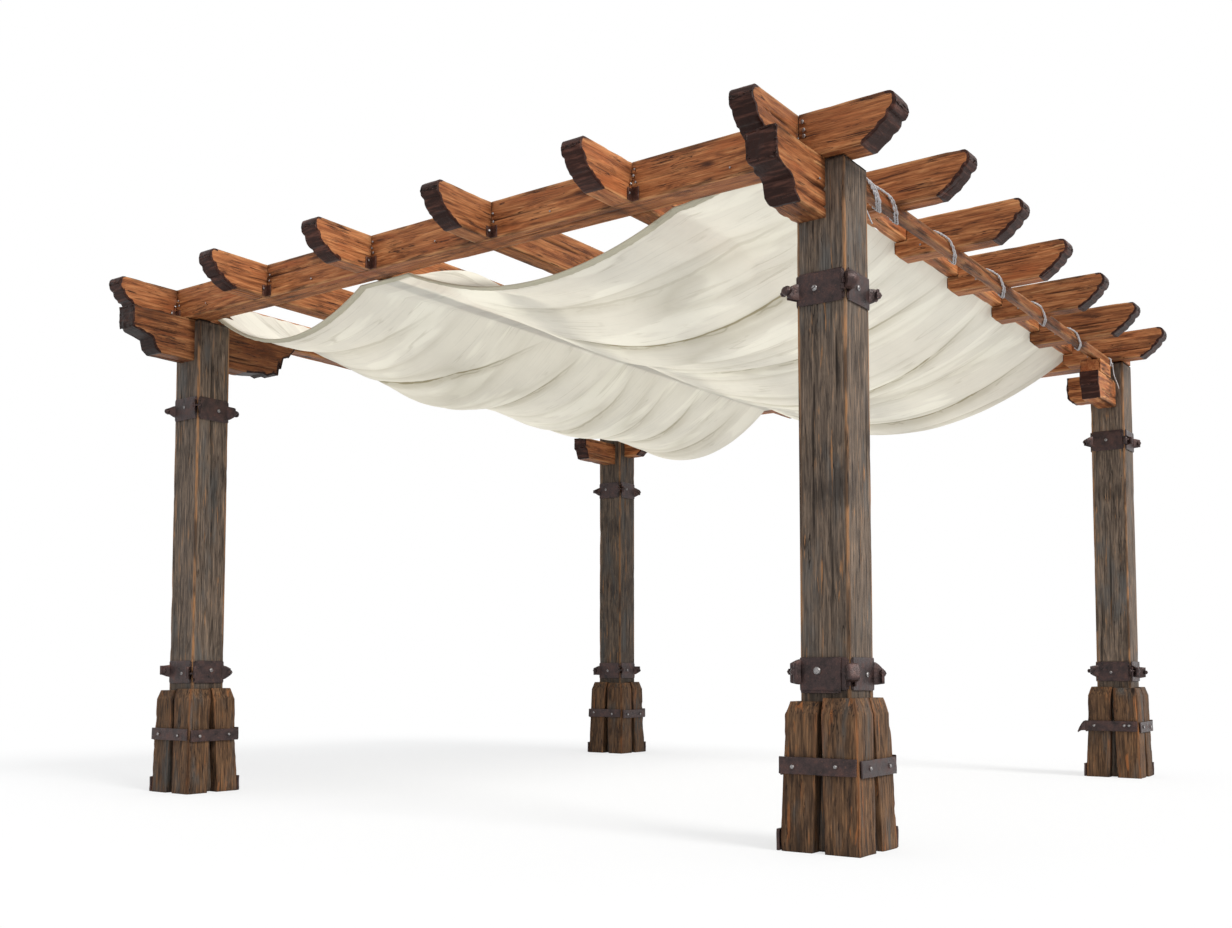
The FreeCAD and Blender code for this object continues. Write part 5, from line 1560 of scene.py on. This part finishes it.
def floor():
    n = Nodes("studio_floor")
    ground = n.add("BsdfDiffuse", Color=(0.78, 0.80, 0.83, 1))
    white = n.add("Emission", Color=(1, 1, 1, 1), Strength=1.0)
    place = n.add("TexCoord").outputs["Object"]
    distance = n.add("VectorMath", operation="LENGTH")
    n.link(place, distance.inputs[0])
    far = n.gate(distance.outputs["Value"], 3.2, 7.5)
    rays = n.add("LightPath")
    seen = n.maths("MAXIMUM", rays.outputs["Is Camera Ray"],
                   n.maths("MAXIMUM", rays.outputs["Is Glossy Ray"], rays.outputs["Is Transmission Ray"]))
    both = n.add("MixShader")
    pale = n.maths("ADD", n.maths("MULTIPLY", far, 1 - FLOOR_PALE), FLOOR_PALE)
    n.link(n.maths("MULTIPLY", pale, seen), both.inputs["Fac"])
    n.link(ground.outputs["BSDF"], both.inputs[1])
    n.link(white.outputs["Emission"], both.inputs[2])
    n.link(both.outputs["Shader"], n.output.inputs["Surface"])
    size = 60.0
    mesh = bpy.data.meshes.new("studio_floor")
    mesh.from_pydata([(-size, -size, 0), (size, -size, 0), (size, size, 0), (-size, size, 0)], [], [(0, 1, 2, 3)])
    mesh.materials.append(n.material)
    obj = bpy.data.objects.new("studio_floor", mesh)
    bpy.context.scene.collection.objects.link(obj)


def light():
    world = bpy.data.worlds.new("studio")
    bpy.context.scene.world = world
    world.use_nodes = True
    tree = world.node_tree
    tree.nodes.clear()
    out = tree.nodes.new("ShaderNodeOutputWorld")
    room = tree.nodes.new("ShaderNodeBackground")
    room.inputs["Color"].default_value = (1.0, 0.99, 0.975, 1)
    room.inputs["Strength"].default_value = 0.78
    white = tree.nodes.new("ShaderNodeBackground")
    white.inputs["Color"].default_value = (1, 1, 1, 1)
    white.inputs["Strength"].default_value = 1.0
    rays = tree.nodes.new("ShaderNodeLightPath")
    either = tree.nodes.new("ShaderNodeMath")
    either.operation = "MAXIMUM"
    tree.links.new(rays.outputs["Is Camera Ray"], either.inputs[0])
    tree.links.new(rays.outputs["Is Glossy Ray"], either.inputs[1])
    more = tree.nodes.new("ShaderNodeMath")
    more.operation = "MAXIMUM"
    tree.links.new(either.outputs[0], more.inputs[0])
    tree.links.new(rays.outputs["Is Transmission Ray"], more.inputs[1])
    mix = tree.nodes.new("ShaderNodeMixShader")
    tree.links.new(more.outputs[0], mix.inputs["Fac"])
    tree.links.new(room.outputs[0], mix.inputs[1])
    tree.links.new(white.outputs[0], mix.inputs[2])
    tree.links.new(mix.outputs[0], out.inputs["Surface"])
    lamp = bpy.data.lights.new("key", "SUN")
    lamp.energy = 2.75
    lamp.angle = math.radians(22)
    lamp.color = (1.0, 0.97, 0.92)
    key = bpy.data.objects.new("key", lamp)
    towards = Vector((0.84, -0.12, 0.70))
    key.rotation_euler = towards.to_track_quat("Z", "Y").to_euler()
    key.location = towards * 8
    bpy.context.scene.collection.objects.link(key)


CAMERA_PLACE = (3.961, -6.214, 0.658)
CAMERA_AZIMUTH = math.radians(35.696)
CAMERA_PITCH = math.radians(3.612)
FOCAL_PIXELS = 1274.3
PICTURE_WIDTH = 1232
SENSOR = 36.0
SHIFT = 0.10


def camera():
    data = bpy.data.cameras.new("camera")
    data.sensor_width = SENSOR
    data.lens = FOCAL_PIXELS / PICTURE_WIDTH * SENSOR
    data.shift_y = SHIFT
    obj = bpy.data.objects.new("camera", data)
    obj.location = CAMERA_PLACE
    obj.rotation_euler = (math.pi / 2 + CAMERA_PITCH, 0, CAMERA_AZIMUTH)
    bpy.context.scene.collection.objects.link(obj)
    bpy.context.scene.camera = obj


floor()
light()
camera()
bpy.context.scene.view_settings.view_transform = "Standard"
